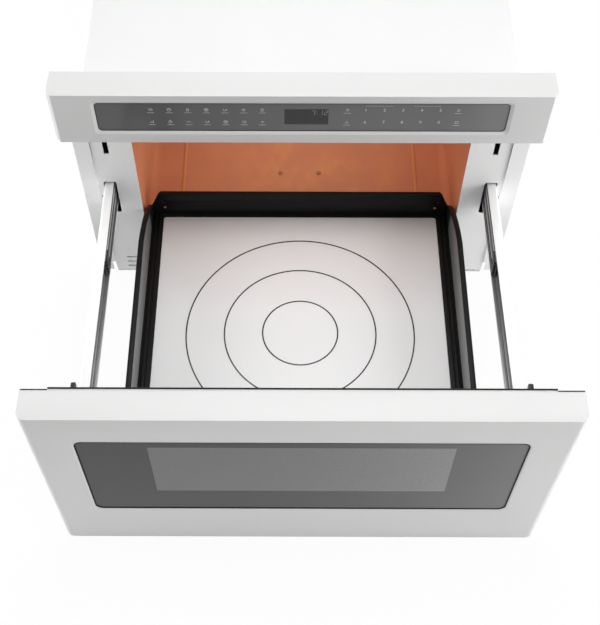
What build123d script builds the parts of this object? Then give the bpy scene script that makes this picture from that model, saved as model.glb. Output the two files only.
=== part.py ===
from build123d import *
import math
import os

os.makedirs("parts", exist_ok=True)

# A built-in microwave drawer, in millimetres.
# X runs to the right seen from the front, Y into the cabinet, Z up.
# Y = 0 is the face of the cabinet, Z = 0 the shelf that carries the case.
# Each sliding piece is built where it stands with the drawer closed and is
# then moved forward by its share of the travel, so the stored pose is open.

# ---------------------------------------------------------------- driving sizes

# front
front_width = 606.4
front_top = 411.0
panel_height = 81.0
panel_depth = 40.0
panel_gap = 8.0
drawer_front_height = 326.0
front_corner = 8.5
edge_round = 1.0

# case
case_width = 548.0
case_height = 372.0
case_depth = 549.0
case_sheet = 1.2
frame_sheet = 1.5
frame_top = 404.0
frame_bottom = 5.0
frame_chamfer = 8.0
flange_width = 21.0
flange_rise = 2.5
flange_bottom = 7.0
flange_notch_width = 4.0
flange_notch_top = 26.0
cabinet_screw_spacing_x = 576.0
cabinet_screw_spacing_z = 255.0
cabinet_screw_low = 51.0
cabinet_hole_radius = 2.5

# cavity
cavity_width = 439.0
cavity_height = 196.0
cavity_depth = 412.0
cavity_floor = 96.0
cavity_sheet = 1.0
cavity_round = 12.0
cavity_flange = 10.0
floor_crease_x = 174.5
floor_crease_width = 2.0
floor_crease_depth = 0.5

# drawer travel and running gaps
drawer_travel = 381.0
closed_gap = 0.5
slip = 0.3
shaft_slip = 0.05

# side arms and telescopic slides
arm_outer_x = 265.5
arm_width = 12.5
arm_height = 46.0
arm_middle_z = 181.0
arm_length = 432.0
arm_sheet = 1.8
slide_depth = 13.7
slide_sheet = 1.2
slide_length = 400.0
slide_fixed_front = 10.0
slide_fixed_height = 39.0
slide_tip_gap = 5.7
mid_length = 330.0
mid_share = 0.5
mid_front_closed = 68.0
ball_radius = 1.6
ball_gap = 3.8
cage_sheet = 0.8
cage_length = 120.0
cage_web_gap = 0.5
cage_balls = 8
outer_cage_share = 0.25
inner_cage_share = 0.75
outer_cage_front_closed = 180.0
inner_cage_front_closed = 155.0
slot_margin = 1.5
slot_width = 17.5
slot_height = 66.0
slot_corner = 3.0

# latch hooks and their switches
latch_x = 254.5
latch_thickness = 4.0
latch_reach = 29.0
latch_top = 288.0
latch_bottom = 266.0
latch_pivot_depth = 12.0
latch_pin_radius = 2.0
latch_hole_width = 7.0
latch_hole_bottom = 263.0
latch_hole_top = 297.0

# drawer front
skin_wall = 3.0
side_wall = 2.0
skin_lip = 37.0
skin_lip_height = 13.0
back_plate_thickness = 3.0
back_plate_width = 544.0
back_plate_margin = 4.0
glass_pane_width = 500.0
glass_pane_height = 180.0
glass_pane_top = 268.0
glass_pane_corner = 9.0
glass_pane_thickness = 4.0
glass_pane_depth = 1.5
window_width = 342.0
window_height = 115.5
window_top = 255.0
window_frame_border = 12.0
window_frame_backing = 2.0
screen_thickness = 0.6
screen_border = 14.0
inner_window_thickness = 1.0
inner_window_border = 9.0
choke_overlap = 20.5
choke_inner_gap = 2.0
choke_sheet = 1.2

# tray
tray_width = 432.0
tray_gap = 3.0
tray_sheet = 1.2
tray_corner = 3.0
tray_wall = 5.0
tray_length = 408.5
tray_back_thickness = 5.0
tray_back_top = 155.0
glass_rise = 15.0
shelf_size = 389.5
shelf_thickness = 5.0
shelf_corner = 4.0
shelf_front = 5.25
shelf_ledge = 8.0
rib_radius = 1.0
rim_width = 7.0
rim_thickness = 5.0
rim_front_z = 169.0
rim_crest_z = 181.0
rim_crest_y = 300.0
rim_bend_y = 345.0
rim_bend_z = 167.5
rim_end_z = 131.0
ring_radii = (50.8, 101.6, 152.4)
ring_line = 1.3
ring_height = 0.15

# drive
gear_module = 2.0
pinion_teeth = 18
pressure_angle = math.radians(20)
gear_backlash = 0.2
gear_width = 10.0
rack_width = 12.0
rack_top = 84.0
rack_body = 10.0
rack_length = 432.0
pinion_y = 30.0
pinion_shaft_radius = 4.0
drive_cheek = 3.0
drive_bracket_length = 40.0
gearbox_length = 28.0
gearbox_height = 44.0
drive_motor_radius = 18.0
drive_motor_length = 55.0

# control panel
panel_wall = 2.5
panel_back_lip = 15.0
control_glass_width = 496.0
control_glass_height = 47.0
control_glass_top = 396.0
control_glass_corner = 5.0
control_glass_thickness = 4.0
recess_depth = 3.0
recess_side = 8.0
recess_below = 9.6
recess_above = 5.0
control_ledge = 8.0
control_back_wall = 1.5
display_width = 53.0
display_height = 27.0
display_x = 2.5
display_top = 388.0
control_board_depth = 6.5
board_sheet = 1.6

# air, wave and power parts
stirrer_y = 200.0
dome_size = 220.0
dome_height = 20.0
ceiling_port = 180.0
stirrer_cover_size = 190.0
stirrer_cover_thickness = 1.5
stirrer_shaft_radius = 3.0
stirrer_radius = 70.0
blade_sheet = 1.0
blade_tilt = 15.0
stirrer_motor_radius = 24.0
stirrer_motor_height = 18.0
duct_width = 90.0
duct_height = 43.0
duct_front = 235.0
duct_back = 520.0
magnetron_y = 470.0
magnetron_size = 90.0
magnetron_height = 63.0
magnetron_fins = 8
fan_x = -185.0
fan_z = 250.0
fan_size = 120.0
fan_depth = 38.0
fan_bore = 56.0
fan_wheel_radius = 54.0
fan_hub_radius = 21.0
fan_blades = 7
fan_shaft_radius = 2.0

# ---------------------------------------------------------------- derived places

half_front = front_width / 2
half_case = case_width / 2
half_cavity = cavity_width / 2
half_tray = tray_width / 2
front_y = -frame_sheet - panel_depth
panel_bottom = front_top - panel_height
drawer_top = panel_bottom - panel_gap
drawer_bottom = drawer_top - drawer_front_height
ceiling = cavity_floor + cavity_height
cavity_top = ceiling + cavity_sheet
plate_back = -frame_sheet - closed_gap
skin_back = plate_back - back_plate_thickness
flange_y = -frame_sheet - flange_rise
case_inner = half_case - case_sheet
roof_inner = case_height - case_sheet
back_inner = case_depth - case_sheet

arm_inner_x = arm_outer_x - arm_width
arm_web_x = arm_outer_x - arm_sheet
arm_bottom = arm_middle_z - arm_height / 2
arm_top = arm_middle_z + arm_height / 2
fixed_back_x = arm_web_x - slide_depth
slot_outer_x = arm_outer_x + slot_margin
slot_inner_x = slot_outer_x - slot_width
slot_top = arm_top + slot_corner
slot_bottom = slot_top - slot_height

mid_height = slide_fixed_height - 2 * (slide_sheet + ball_gap)
inner_height = mid_height - 2 * (slide_sheet + ball_gap)
mid_back_x = fixed_back_x + slide_sheet + cage_sheet + 2 * cage_web_gap
mid_tip_x = arm_web_x - 2 * slide_sheet
fixed_tip_x = arm_web_x - slide_tip_gap
outer_ball_z = mid_height / 2 + ball_gap / 2
inner_ball_z = inner_height / 2 + ball_gap / 2
inner_tip_x = mid_back_x + slide_sheet + cage_sheet + 2 * cage_web_gap

glass_top = cavity_floor + glass_rise
shelf_bottom = glass_top - shelf_thickness
tray_bottom = cavity_floor + tray_gap
tray_floor = tray_bottom + tray_sheet
tray_back_y = plate_back + tray_length - tray_back_thickness
wall_inner_x = half_tray - tray_wall
shelf_middle_y = shelf_front + shelf_size / 2

pitch = math.pi * gear_module
pinion_radius = gear_module * pinion_teeth / 2
rack_root = rack_top - rack_body
rack_pitch_z = rack_root - 1.25 * gear_module
pinion_z = rack_pitch_z - pinion_radius

glass_pane_bottom = glass_pane_top - glass_pane_height
window_bottom = window_top - window_height
pane_y = front_y + glass_pane_depth
pane_back = pane_y + glass_pane_thickness
window_frame_back = pane_back + window_frame_backing

control_glass_bottom = control_glass_top - control_glass_height
control_glass_y = front_y + recess_depth
control_glass_back = control_glass_y + control_glass_thickness
control_wall_back = control_glass_back + control_back_wall
board_front = control_wall_back + control_board_depth

duct_bottom = cavity_top + dome_height
latch_pivot_y = plate_back - latch_pivot_depth
latch_pivot_z = (latch_top + latch_bottom) / 2 + 2
latch_tip_y = plate_back + latch_reach
switch_front_y = latch_tip_y + 4.0

# ---------------------------------------------------------------- helpers


def middle(span):
    return (span[0] + span[1]) / 2


def length(span):
    return span[1] - span[0]


def both(half):
    """The span from -half to half."""
    return (-half, half)


def around(centre, size):
    """The span of this size round a centre."""
    return (centre - size / 2, centre + size / 2)


def block(x, y, z):
    """A box over three spans."""
    place = Pos(middle(x), middle(y), middle(z))
    return place * Box(length(x), length(y), length(z))


def slab(x, y, z, corner):
    """A plate in the XZ plane with round corners, over the span y."""
    outline = RectangleRounded(length(x), length(z), corner)
    return Pos(middle(x), y[1], middle(z)) * Rot(90, 0, 0) * extrude(outline, length(y))


def rod_x(x, y, z, radius):
    return Pos(middle(x), y, z) * Rot(0, 90, 0) * Cylinder(radius, length(x))


def rod_y(x, y, z, radius):
    return Pos(x, middle(y), z) * Rot(90, 0, 0) * Cylinder(radius, length(y))


def rod_z(x, y, z, radius):
    return Pos(x, y, middle(z)) * Cylinder(radius, length(z))


def prism_x(points, x):
    """An outline of (y, z) points, over the span x."""
    outline = Plane.YZ * Polygon(*points, align=None)
    return Pos(x[0], 0, 0) * extrude(outline, length(x), dir=(1, 0, 0))


def prism_y(points, y):
    """An outline of (x, z) points, over the span y."""
    outline = Plane.XZ * Polygon(*points, align=None)
    return Pos(0, y[0], 0) * extrude(outline, length(y), dir=(0, 1, 0))


def mirrored(shape):
    return mirror(shape, about=Plane.YZ)


def both_sides(pieces):
    """Right-hand pieces and their left-hand twins."""
    return pieces + [mirrored(piece) for piece in pieces]


def pair(shape):
    """One right-hand piece and its left-hand twin."""
    return both_sides([shape])


def save(node, shapes, forward=0.0):
    """Write one node, moved towards the user by forward."""
    if not isinstance(shapes, list):
        shapes = [shapes]
    solids = []
    for shape in shapes:
        for solid in shape.solids():
            solids.append(Pos(0, -forward, 0) * solid)
    whole = solids[0] if len(solids) == 1 else Compound(children=solids)
    export_step(whole, f"parts/{node}.step")


# ---------------------------------------------------------------- case

frame_screw_x = half_case - 3.4
frame_screw_z = 176.0
frame_screw_head = 2.4
frame_screw_shank = 1.6
vent_left = -256.0
vent_length = 106.0
vent_height = 3.0
vent_low = 12.4
vent_pitch = 10.9
vent_count = 3
rack_slot_side = 4.0
cabinet_holes_z = (cabinet_screw_low, cabinet_screw_low + cabinet_screw_spacing_z)


def make_front_frame():
    c = frame_chamfer
    outline = [
        (-half_case, frame_top),
        (-half_case, frame_bottom + c),
        (-half_case + c, frame_bottom),
        (half_case - c, frame_bottom),
        (half_case, frame_bottom + c),
        (half_case, frame_top),
    ]
    sheet = (-frame_sheet, 0)
    plate = prism_y(outline, sheet)
    plate -= block(both(half_cavity), sheet, (cavity_floor, ceiling))
    slot = slab((slot_inner_x, slot_outer_x), sheet, (slot_bottom, slot_top), slot_corner)
    hole_x = around(latch_x, latch_hole_width)
    latch_hole = block(hole_x, sheet, (latch_hole_bottom, latch_hole_top))
    screw_hole = rod_y(frame_screw_x, sheet, frame_screw_z, frame_screw_head + slip)
    for cut in (slot, latch_hole, screw_hole):
        plate -= cut
        plate -= mirrored(cut)
    for row in range(vent_count):
        z = vent_low + row * vent_pitch
        vent = block((vent_left, vent_left + vent_length), sheet, around(z, vent_height))
        plate -= vent
    rack_low = pinion_z + pinion_radius - 3 * gear_module
    rack_slot = block(both(rack_width / 2 + rack_slot_side), sheet, (rack_low, rack_top + rack_slot_side))
    return plate - rack_slot


def make_side_flange():
    outer = half_case + flange_width
    z = (flange_bottom, panel_bottom - slip)
    channel = block((half_case, outer), (flange_y, 0), z)
    inside = block((half_case + case_sheet, outer - case_sheet), (flange_y + case_sheet, 0), z)
    channel -= inside
    notch_x = (half_case, half_case + flange_notch_width)
    channel -= block(notch_x, (flange_y, 0), (flange_bottom, flange_notch_top))
    for hole_z in cabinet_holes_z:
        channel -= rod_y(cabinet_screw_spacing_x / 2, (flange_y, 0), hole_z, cabinet_hole_radius)
    return channel


def make_case_wrap():
    outside = block(both(half_case), (0, case_depth), (0, case_height))
    return outside - block(both(case_inner), (0, case_depth), (0, roof_inner))


base_lip = 15.0


def make_case_base():
    floor = block(both(case_inner), (-frame_sheet, back_inner), (0, case_sheet))
    front_lip_y = (-frame_sheet, -frame_sheet + case_sheet)
    front_lip = block(both(case_inner - frame_chamfer), front_lip_y, (0, frame_bottom))
    back_lip = block(both(case_inner), (back_inner - case_sheet, back_inner), (0, base_lip))
    return floor + front_lip + back_lip


louvre_width = 46.0
louvre_height = 4.0
louvre_pitch = 11.0
louvre_rows = 8
gland_x = -235.0
gland_z = 60.0
gland_radius = 9.0
gland_flange = 3.0
gland_tail = 10.0
exhaust_x = 205.0
exhaust_z = 230.0
screw_inset = 8.0
screw_radius = 2.0
screw_head_height = 2.0
screw_length = 6.0


def louvres(x, z):
    """A field of slots centred at x, z in the back panel."""
    panel_y = (back_inner, case_depth)
    corner = louvre_height * 0.49
    cuts = []
    for row in range(louvre_rows):
        slot_z = around(z + (row - (louvre_rows - 1) / 2) * louvre_pitch, louvre_height)
        for side in (-1, 1):
            slot_x = x + side * (louvre_width / 2 + louvre_height)
            cuts.append(slab(around(slot_x, louvre_width), panel_y, slot_z, corner))
    return cuts


def back_screw_places():
    places = []
    for side in (-1, 0, 1):
        for z in (base_lip / 2, roof_inner - screw_inset):
            places.append((side * (case_inner - screw_inset), z))
    return places


def make_case_back():
    panel = block(both(case_inner), (back_inner, case_depth), (0, roof_inner))
    for cut in louvres(fan_x, fan_z) + louvres(exhaust_x, exhaust_z):
        panel -= cut
    panel -= rod_y(gland_x, (back_inner, case_depth), gland_z, gland_radius)
    for x, z in back_screw_places():
        panel -= rod_y(x, (back_inner, case_depth), z, screw_radius)
    return panel


lamp_x = 150.0
lamp_z = 240.0
lamp_hole_radius = 1.5
lamp_hole_pitch = 6.0
lamp_hole_rows = 4
floor_screw_x = 28.5
floor_screw_y = 108.5
floor_screw_radius = 3.2
floor_screw_height = 0.8


def make_cavity_shell():
    outside = block(both(half_cavity + cavity_sheet), (0, cavity_depth + cavity_sheet),
                    (cavity_floor - cavity_sheet, cavity_top))
    outside = fillet(outside.edges().filter_by(Axis.Y), cavity_round + cavity_sheet)
    inside = block(both(half_cavity), (0, cavity_depth), (cavity_floor, ceiling))
    inside = fillet(inside.edges().filter_by(Axis.Y), cavity_round)
    mouth = block(both(half_cavity + cavity_flange), (0, case_sheet),
                  (cavity_floor - cavity_flange, ceiling + cavity_flange))
    shell = outside + mouth - inside
    shell -= block(around(0, ceiling_port), around(stirrer_y, ceiling_port), (ceiling, cavity_top))
    crease = block(around(floor_crease_x, floor_crease_width), (cavity_round, cavity_depth - cavity_round),
                   (cavity_floor - floor_crease_depth, cavity_floor))
    shell -= crease
    shell -= mirrored(crease)
    for column in range(lamp_hole_rows):
        for row in range(lamp_hole_rows):
            x = lamp_x + (column - (lamp_hole_rows - 1) / 2) * lamp_hole_pitch
            z = lamp_z + (row - (lamp_hole_rows - 1) / 2) * lamp_hole_pitch
            shell -= rod_y(x, (cavity_depth, cavity_depth + cavity_sheet), z, lamp_hole_radius)
    floor_z = (cavity_floor - cavity_sheet, cavity_floor)
    floor_hole = rod_z(floor_screw_x, floor_screw_y, floor_z, screw_radius)
    shell -= floor_hole
    return shell - mirrored(floor_hole)


def make_case_screws():
    frame_screw = rod_y(frame_screw_x, (-frame_sheet, 0), frame_screw_z, frame_screw_head)
    frame_screw += rod_y(frame_screw_x, (0, screw_length), frame_screw_z, frame_screw_shank)
    screws = pair(frame_screw)
    for x, z in back_screw_places():
        head = rod_y(x, (case_depth, case_depth + screw_head_height), z, 2 * screw_radius)
        screws.append(head + rod_y(x, (back_inner, case_depth), z, screw_radius))
    head_z = (cavity_floor, cavity_floor + floor_screw_height)
    floor_screw = rod_z(floor_screw_x, floor_screw_y, head_z, floor_screw_radius)
    shank_z = (cavity_floor - screw_length, cavity_floor)
    floor_screw += rod_z(floor_screw_x, floor_screw_y, shank_z, screw_radius - shaft_slip)
    return screws + pair(floor_screw)


def make_cord_gland():
    tail = back_inner - gland_tail
    rim = case_depth + gland_flange
    gland = rod_y(gland_x, (tail, case_depth), gland_z, gland_radius)
    gland += rod_y(gland_x, (case_depth, rim), gland_z, gland_radius + gland_flange)
    return gland - rod_y(gland_x, (tail, rim), gland_z, gland_radius / 2)


# ---------------------------------------------------------------- control panel


def rounded_front(x, y, z, corner):
    """A block whose two upright front edges are round."""
    body = block(x, y, z)
    uprights = body.edges().filter_by(Axis.Z).sort_by(Axis.Y)[:2]
    return fillet(uprights, corner)


def control_window(grow_side, grow_above, grow_below, y):
    """The control glass's outline, grown, as a face at y."""
    width = control_glass_width + 2 * grow_side
    height = control_glass_height + grow_above + grow_below
    corner = control_glass_corner + grow_side / 3
    z = control_glass_bottom - grow_below + height / 2
    return Pos(0, y, z) * Rot(90, 0, 0) * RectangleRounded(width, height, corner)


def make_control_panel():
    shell = rounded_front(both(half_front), (front_y, -frame_sheet), (panel_bottom, front_top), front_corner)
    front_edges = shell.faces().sort_by(Axis.Y)[0].edges().filter_by(Axis.X)
    shell = fillet(front_edges, edge_round)
    shell -= block(both(half_front - panel_wall), (control_wall_back, -frame_sheet - panel_wall),
                   (panel_bottom + panel_wall, front_top - panel_wall))
    shell -= block(both(half_case - panel_back_lip), (-frame_sheet - panel_wall, -frame_sheet),
                   (panel_bottom + panel_back_lip, front_top - panel_back_lip))
    wide = control_window(recess_side, recess_above, recess_below, front_y)
    narrow = control_window(0, 0, 0, control_glass_y)
    shell -= loft([wide, narrow])
    shell -= extrude(control_window(0, 0, 0, control_glass_back), control_glass_thickness)
    through_x = both(control_glass_width / 2 - control_ledge)
    through_z = (control_glass_bottom + control_ledge / 2, control_glass_top - control_ledge / 2)
    return shell - block(through_x, (control_glass_back, control_wall_back), through_z)


def make_control_glass():
    x = both(control_glass_width / 2 - slip)
    z = (control_glass_bottom + slip, control_glass_top - slip)
    return slab(x, (control_glass_y, control_glass_back), z, control_glass_corner - slip)


display_wall = 2.0
display_pane_depth = 1.0
control_board_width = 450.0
control_board_margin = 6.0
standoff_radius = 3.0
standoff_inset = 5.0
standoff_spread = (-1.0, -0.35, 0.35, 1.0)
control_chips = 6
control_chip = 18.0
control_chip_height = 7.0


def make_display_module():
    z = around(display_top - display_height / 2, display_height)
    case = block(around(display_x, display_width + 2 * display_wall), (control_glass_back, board_front), z)
    pane_y = (control_glass_back, control_glass_back + display_pane_depth)
    pane_z = around(middle(z), display_height - display_wall)
    return case - block(around(display_x, display_width - display_wall), pane_y, pane_z)


def standoffs(across, up, y):
    """Four pillars' places along each edge, as rods over the span y."""
    rods = []
    for share in standoff_spread:
        x = middle(across) + share * (length(across) / 2 - standoff_inset)
        for z in (up[0] + standoff_inset, up[1] - standoff_inset):
            rods.append(rod_y(x, y, z, standoff_radius))
    return rods


def make_control_board():
    board_x = both(control_board_width / 2)
    board_z = (control_glass_bottom - control_board_margin, control_glass_top + control_board_margin)
    board_back = board_front + board_sheet
    pieces = [block(board_x, (board_front, board_back), board_z)]
    pieces += standoffs(board_x, board_z, (control_wall_back, board_front))
    for index in range(control_chips):
        x = (index + 0.5 - control_chips / 2) * control_board_width / control_chips
        chip_z = around(middle(board_z), control_chip)
        pieces.append(block(around(x, control_chip), (board_back, board_back + control_chip_height), chip_z))
    return pieces


# ---------------------------------------------------------------- slides


def channel(back, tip, height, y):
    """A sheet channel standing on its back at X = back, its two lips reaching to X = tip."""
    inward = math.copysign(slide_sheet, tip - back)
    lips_x = tuple(sorted((back, tip)))
    web_x = tuple(sorted((back, back + inward)))
    body = block(web_x, y, around(arm_middle_z, height))
    for side in (-1, 1):
        lip_middle = arm_middle_z + side * (height - slide_sheet) / 2
        body += block(lips_x, y, around(lip_middle, slide_sheet))
    return body


groove_width = 1.6
groove_depth = 0.4


def grooves(x, spread, y):
    """Two long rolled grooves in the face at X = x."""
    cuts = []
    for side in (-1, 1):
        z = around(arm_middle_z + side * spread / 2, groove_width)
        cuts.append(block((x, x + groove_depth), y, z))
    return cuts


def make_slide_fixed():
    y = (slide_fixed_front, slide_fixed_front + slide_length)
    return channel(fixed_back_x, fixed_tip_x, slide_fixed_height, y)


def make_slide_mid():
    y = (mid_front_closed, mid_front_closed + mid_length)
    body = channel(mid_back_x, mid_tip_x, mid_height, y)
    for spread in (mid_height * 0.25, mid_height * 0.65):
        for cut in grooves(mid_back_x, spread, y):
            body -= cut
    return body


def make_slide_inner():
    y = (plate_back + arm_sheet, plate_back + slide_length)
    return channel(arm_web_x, inner_tip_x, inner_height, y)


def make_cage(front, member_x, reach, row_z):
    """A ball cage: a thin channel whose two lips carry a row of steel balls each.

    It stands in the channel whose web starts at member_x, and its lips reach to X = reach.
    """
    web_x = member_x + slide_sheet + cage_web_gap
    ball_x = (web_x + cage_sheet + reach) / 2
    y = (front, front + cage_length)
    body = block((web_x, web_x + cage_sheet), y, around(arm_middle_z, 2 * row_z + cage_sheet))
    balls = []
    for side in (-1, 1):
        z = arm_middle_z + side * row_z
        body += block((web_x, reach), y, around(z, cage_sheet))
        for index in range(cage_balls):
            ball_y = front + (index + 0.5) * cage_length / cage_balls
            body -= rod_z(ball_x, ball_y, around(z, 2 * cage_sheet), ball_radius + shaft_slip)
            balls.append(Pos(ball_x, ball_y, z) * Sphere(ball_radius))
    return [body] + balls


bracket_sheet = 2.0
bracket_foot = 22.0
bracket_rise = 4.0
bracket_window = 56.0
bracket_window_drop = 20.0
bracket_windows = 5
switch_mount_front = switch_front_y - 3.0
switch_mount_length = 40.0
switch_mount_top = latch_top + 8.0


def make_slide_bracket():
    x = (fixed_back_x - bracket_sheet, fixed_back_x)
    foot_x = (x[0] - bracket_foot, x[1])
    end_y = slide_fixed_front + slide_length
    top = arm_middle_z + slide_fixed_height / 2 + bracket_rise
    body = block(x, (0, end_y), (case_sheet, top))
    body += block(foot_x, (0, bracket_sheet), (case_sheet, cavity_floor - cavity_flange - slip))
    body += block(foot_x, (0, end_y), (case_sheet, case_sheet + bracket_sheet))
    body += block(x, (switch_mount_front, switch_mount_front + switch_mount_length), (top, switch_mount_top))
    window_z = around(cavity_floor - bracket_window_drop, bracket_window)
    for index in range(bracket_windows):
        y = (index + 0.5) * end_y / bracket_windows
        body -= block(x, around(y, bracket_window), window_z)
    return body


switch_length = 29.0
switch_height = 20.0
switch_width = 12.0
switch_tabs = 3
tab_width = 4.0
tab_sheet = 1.0
tab_length = 6.0
plunger_size = 3.0
plunger_reach = 3.2
plunger_tail = 2.0
plunger_travel = 2.5


def make_switch():
    x = (fixed_back_x, fixed_back_x + switch_width)
    z = around(latch_pivot_z, switch_height)
    body = block(x, (switch_front_y, switch_front_y + switch_length), z)
    pocket_size = plunger_size + 2 * slip
    pocket_y = (switch_front_y, switch_front_y + plunger_reach + plunger_travel)
    body -= block(around(latch_x, pocket_size), pocket_y, around(latch_pivot_z, pocket_size))
    for index in range(switch_tabs):
        y = switch_front_y + switch_length * (index + 1) / (switch_tabs + 1)
        body += block(around(middle(x), tab_width), around(y, tab_sheet), (z[0] - tab_length, z[0]))
    return body


def make_plunger():
    y = (switch_front_y - plunger_reach, switch_front_y + plunger_tail)
    return block(around(latch_x, plunger_size), y, around(latch_pivot_z, plunger_size))


# ---------------------------------------------------------------- drive

guide_gap = 0.5
guide_inner = rack_width / 2 + guide_gap
guide_outer = guide_inner + drive_cheek
shaft_reach = 9.0
gearbox_bore = 10.0
motor_boss = 4.0


def make_drive_bracket():
    y = around(pinion_y, drive_bracket_length)
    top = rack_top + guide_gap
    bracket = block(both(guide_outer), y, (case_sheet, top + drive_cheek))
    bracket -= block(both(guide_inner), y, (case_sheet + drive_cheek, top))
    bracket += block(both(3 * guide_inner), y, (case_sheet, case_sheet + drive_cheek))
    return bracket - rod_x(both(guide_outer), pinion_y, pinion_z, pinion_shaft_radius + shaft_slip)


def make_drive_motor():
    gearbox_end = guide_outer + gearbox_length
    motor_end = gearbox_end + drive_motor_length
    gearbox = block((guide_outer, gearbox_end), around(pinion_y, drive_bracket_length),
                    around(pinion_z, gearbox_height))
    bore_x = (guide_outer, guide_outer + gearbox_bore)
    gearbox -= rod_x(bore_x, pinion_y, pinion_z, pinion_shaft_radius + slip)
    motor = rod_x((gearbox_end, motor_end), pinion_y, pinion_z, drive_motor_radius)
    motor += rod_x((motor_end, motor_end + motor_boss), pinion_y, pinion_z, drive_motor_radius / 3)
    return [gearbox, motor]


def involute(base, radius):
    """The angle through which an involute has turned at a radius."""
    angle = math.acos(base / radius)
    return math.tan(angle) - angle


def pinion_outline():
    """The pinion's outline in (y, z), with a space between two teeth at its top."""
    base = pinion_radius * math.cos(pressure_angle)
    root = pinion_radius - 1.25 * gear_module
    tip = pinion_radius + gear_module
    half_tooth = math.pi / (2 * pinion_teeth) - gear_backlash / (2 * pinion_radius)
    at_pitch = involute(base, pinion_radius)
    radii = [base + (tip - base) * step / 5 for step in range(6)]
    flank = [(root, half_tooth + at_pitch)]
    flank += [(r, half_tooth + at_pitch - involute(base, r)) for r in radii]
    points = []
    for tooth in range(pinion_teeth):
        centre = (tooth + 0.5) * 2 * math.pi / pinion_teeth
        for r, spread in flank:
            points.append((r, centre - spread))
        for r, spread in reversed(flank):
            points.append((r, centre + spread))
    return [(pinion_y + r * math.sin(a), pinion_z + r * math.cos(a)) for r, a in points]


def make_pinion():
    gear = prism_x(pinion_outline(), both(gear_width / 2))
    return gear + rod_x((-guide_outer, guide_outer + shaft_reach), pinion_y, pinion_z, pinion_shaft_radius)


def make_rack():
    tip_z = rack_pitch_z - gear_module
    half_pitch = pitch / 4 - gear_backlash / 2
    half_tip = half_pitch - gear_module * math.tan(pressure_angle)
    half_root = half_pitch + (rack_root - rack_pitch_z) * math.tan(pressure_angle)
    start = plate_back
    end = plate_back + rack_length
    in_mesh = pinion_y + drawer_travel
    before = int((in_mesh - start - 2 * pitch) / pitch)
    after = int((end - in_mesh - pitch / 2) / pitch)
    points = [(start, rack_top), (start, rack_root)]
    for tooth in range(-before, after + 1):
        y = in_mesh + tooth * pitch
        points += [(y - half_root, rack_root), (y - half_tip, tip_z)]
        points += [(y + half_tip, tip_z), (y + half_root, rack_root)]
    points += [(end, rack_root), (end, rack_top)]
    return prism_x(points, both(rack_width / 2))


# ---------------------------------------------------------------- drawer front


def make_drawer_front():
    skin = rounded_front(both(half_front), (front_y, skin_back), (drawer_bottom, drawer_top), front_corner)
    front_edges = skin.faces().sort_by(Axis.Y)[0].edges().filter_by(Axis.X)
    skin = fillet(front_edges, edge_round)
    hollow = rounded_front(both(half_front - side_wall), (front_y + skin_wall, skin_back - side_wall),
                           (drawer_bottom + side_wall, drawer_top - side_wall), front_corner - side_wall)
    skin -= hollow
    skin -= block(both(half_front - skin_lip), (skin_back - side_wall, skin_back),
                  (drawer_bottom + skin_lip_height, drawer_top - skin_lip_height))
    pane_z = (glass_pane_bottom, glass_pane_top)
    skin -= slab(both(glass_pane_width / 2), (front_y, front_y + skin_wall), pane_z, glass_pane_corner)
    bevel = glass_pane_depth
    wide_z = (glass_pane_bottom - bevel, glass_pane_top + bevel)
    wide = slab_face(both(glass_pane_width / 2 + bevel), front_y, wide_z, glass_pane_corner + bevel)
    narrow = slab_face(both(glass_pane_width / 2), pane_y, pane_z, glass_pane_corner)
    return skin - loft([wide, narrow])


def slab_face(x, y, z, corner):
    """A rounded rectangle standing at y."""
    return Pos(middle(x), y, middle(z)) * Rot(90, 0, 0) * RectangleRounded(length(x), length(z), corner)


def make_drawer_glass():
    x = both(glass_pane_width / 2 - slip)
    z = (glass_pane_bottom + slip, glass_pane_top - slip)
    return slab(x, (pane_y, pane_back), z, glass_pane_corner - slip)


def make_window_frame():
    border = window_frame_border
    x = both(glass_pane_width / 2 + border)
    z = (glass_pane_bottom - border, glass_pane_top + border)
    ring = slab(x, (front_y + skin_wall, window_frame_back), z, glass_pane_corner)
    ring -= slab(both(glass_pane_width / 2), (front_y + skin_wall, pane_back),
                 (glass_pane_bottom, glass_pane_top), glass_pane_corner)
    return ring - block(both(window_width / 2), (pane_back, window_frame_back), (window_bottom, window_top))


screen_hole = 6.0
screen_columns = 28
screen_rows = 10


def make_window_screen():
    x = both(window_width / 2 + screen_border)
    z = (window_bottom - screen_border, window_top + screen_border)
    y = (window_frame_back, window_frame_back + screen_thickness)
    sheet = block(x, y, z)
    step_x = window_width / screen_columns
    step_z = window_height / screen_rows
    holes = []
    for column in range(screen_columns):
        for row in range(screen_rows):
            hole_x = (column + 0.5 - screen_columns / 2) * step_x
            hole_z = window_bottom + (row + 0.5) * step_z
            holes.append(block(around(hole_x, screen_hole), y, around(hole_z, screen_hole)))
    return sheet - holes


def make_choke_frame():
    border = screen_border + choke_inner_gap
    inner_x = window_width / 2 + border
    inner_z = (window_bottom - border, window_top + border)
    outer_x = half_cavity + choke_overlap
    outer_z = (cavity_floor - choke_overlap, drawer_top - skin_lip_height - slip)
    y = (window_frame_back, skin_back)
    s = choke_sheet
    body = block(both(outer_x), y, outer_z) - block(both(inner_x), y, inner_z)
    trench = block(both(outer_x - s), (y[0] + s, y[1]), (outer_z[0] + s, outer_z[1] - s))
    trench -= block(both(inner_x + s), (y[0] + s, y[1]), (inner_z[0] - s, inner_z[1] + s))
    return body - trench


def make_inner_window():
    border = inner_window_border
    return block(both(window_width / 2 + border), (skin_back - inner_window_thickness, skin_back),
                 (window_bottom - border, window_top + border))


arm_screw_z = around(arm_middle_z, 22)
arm_screw_x = (arm_inner_x + arm_web_x) / 2
arm_screw_head = 4.0
arm_screw_head_height = 3.0
back_plate_corner = 3.0
hook_slot_margin = 4.0


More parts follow.
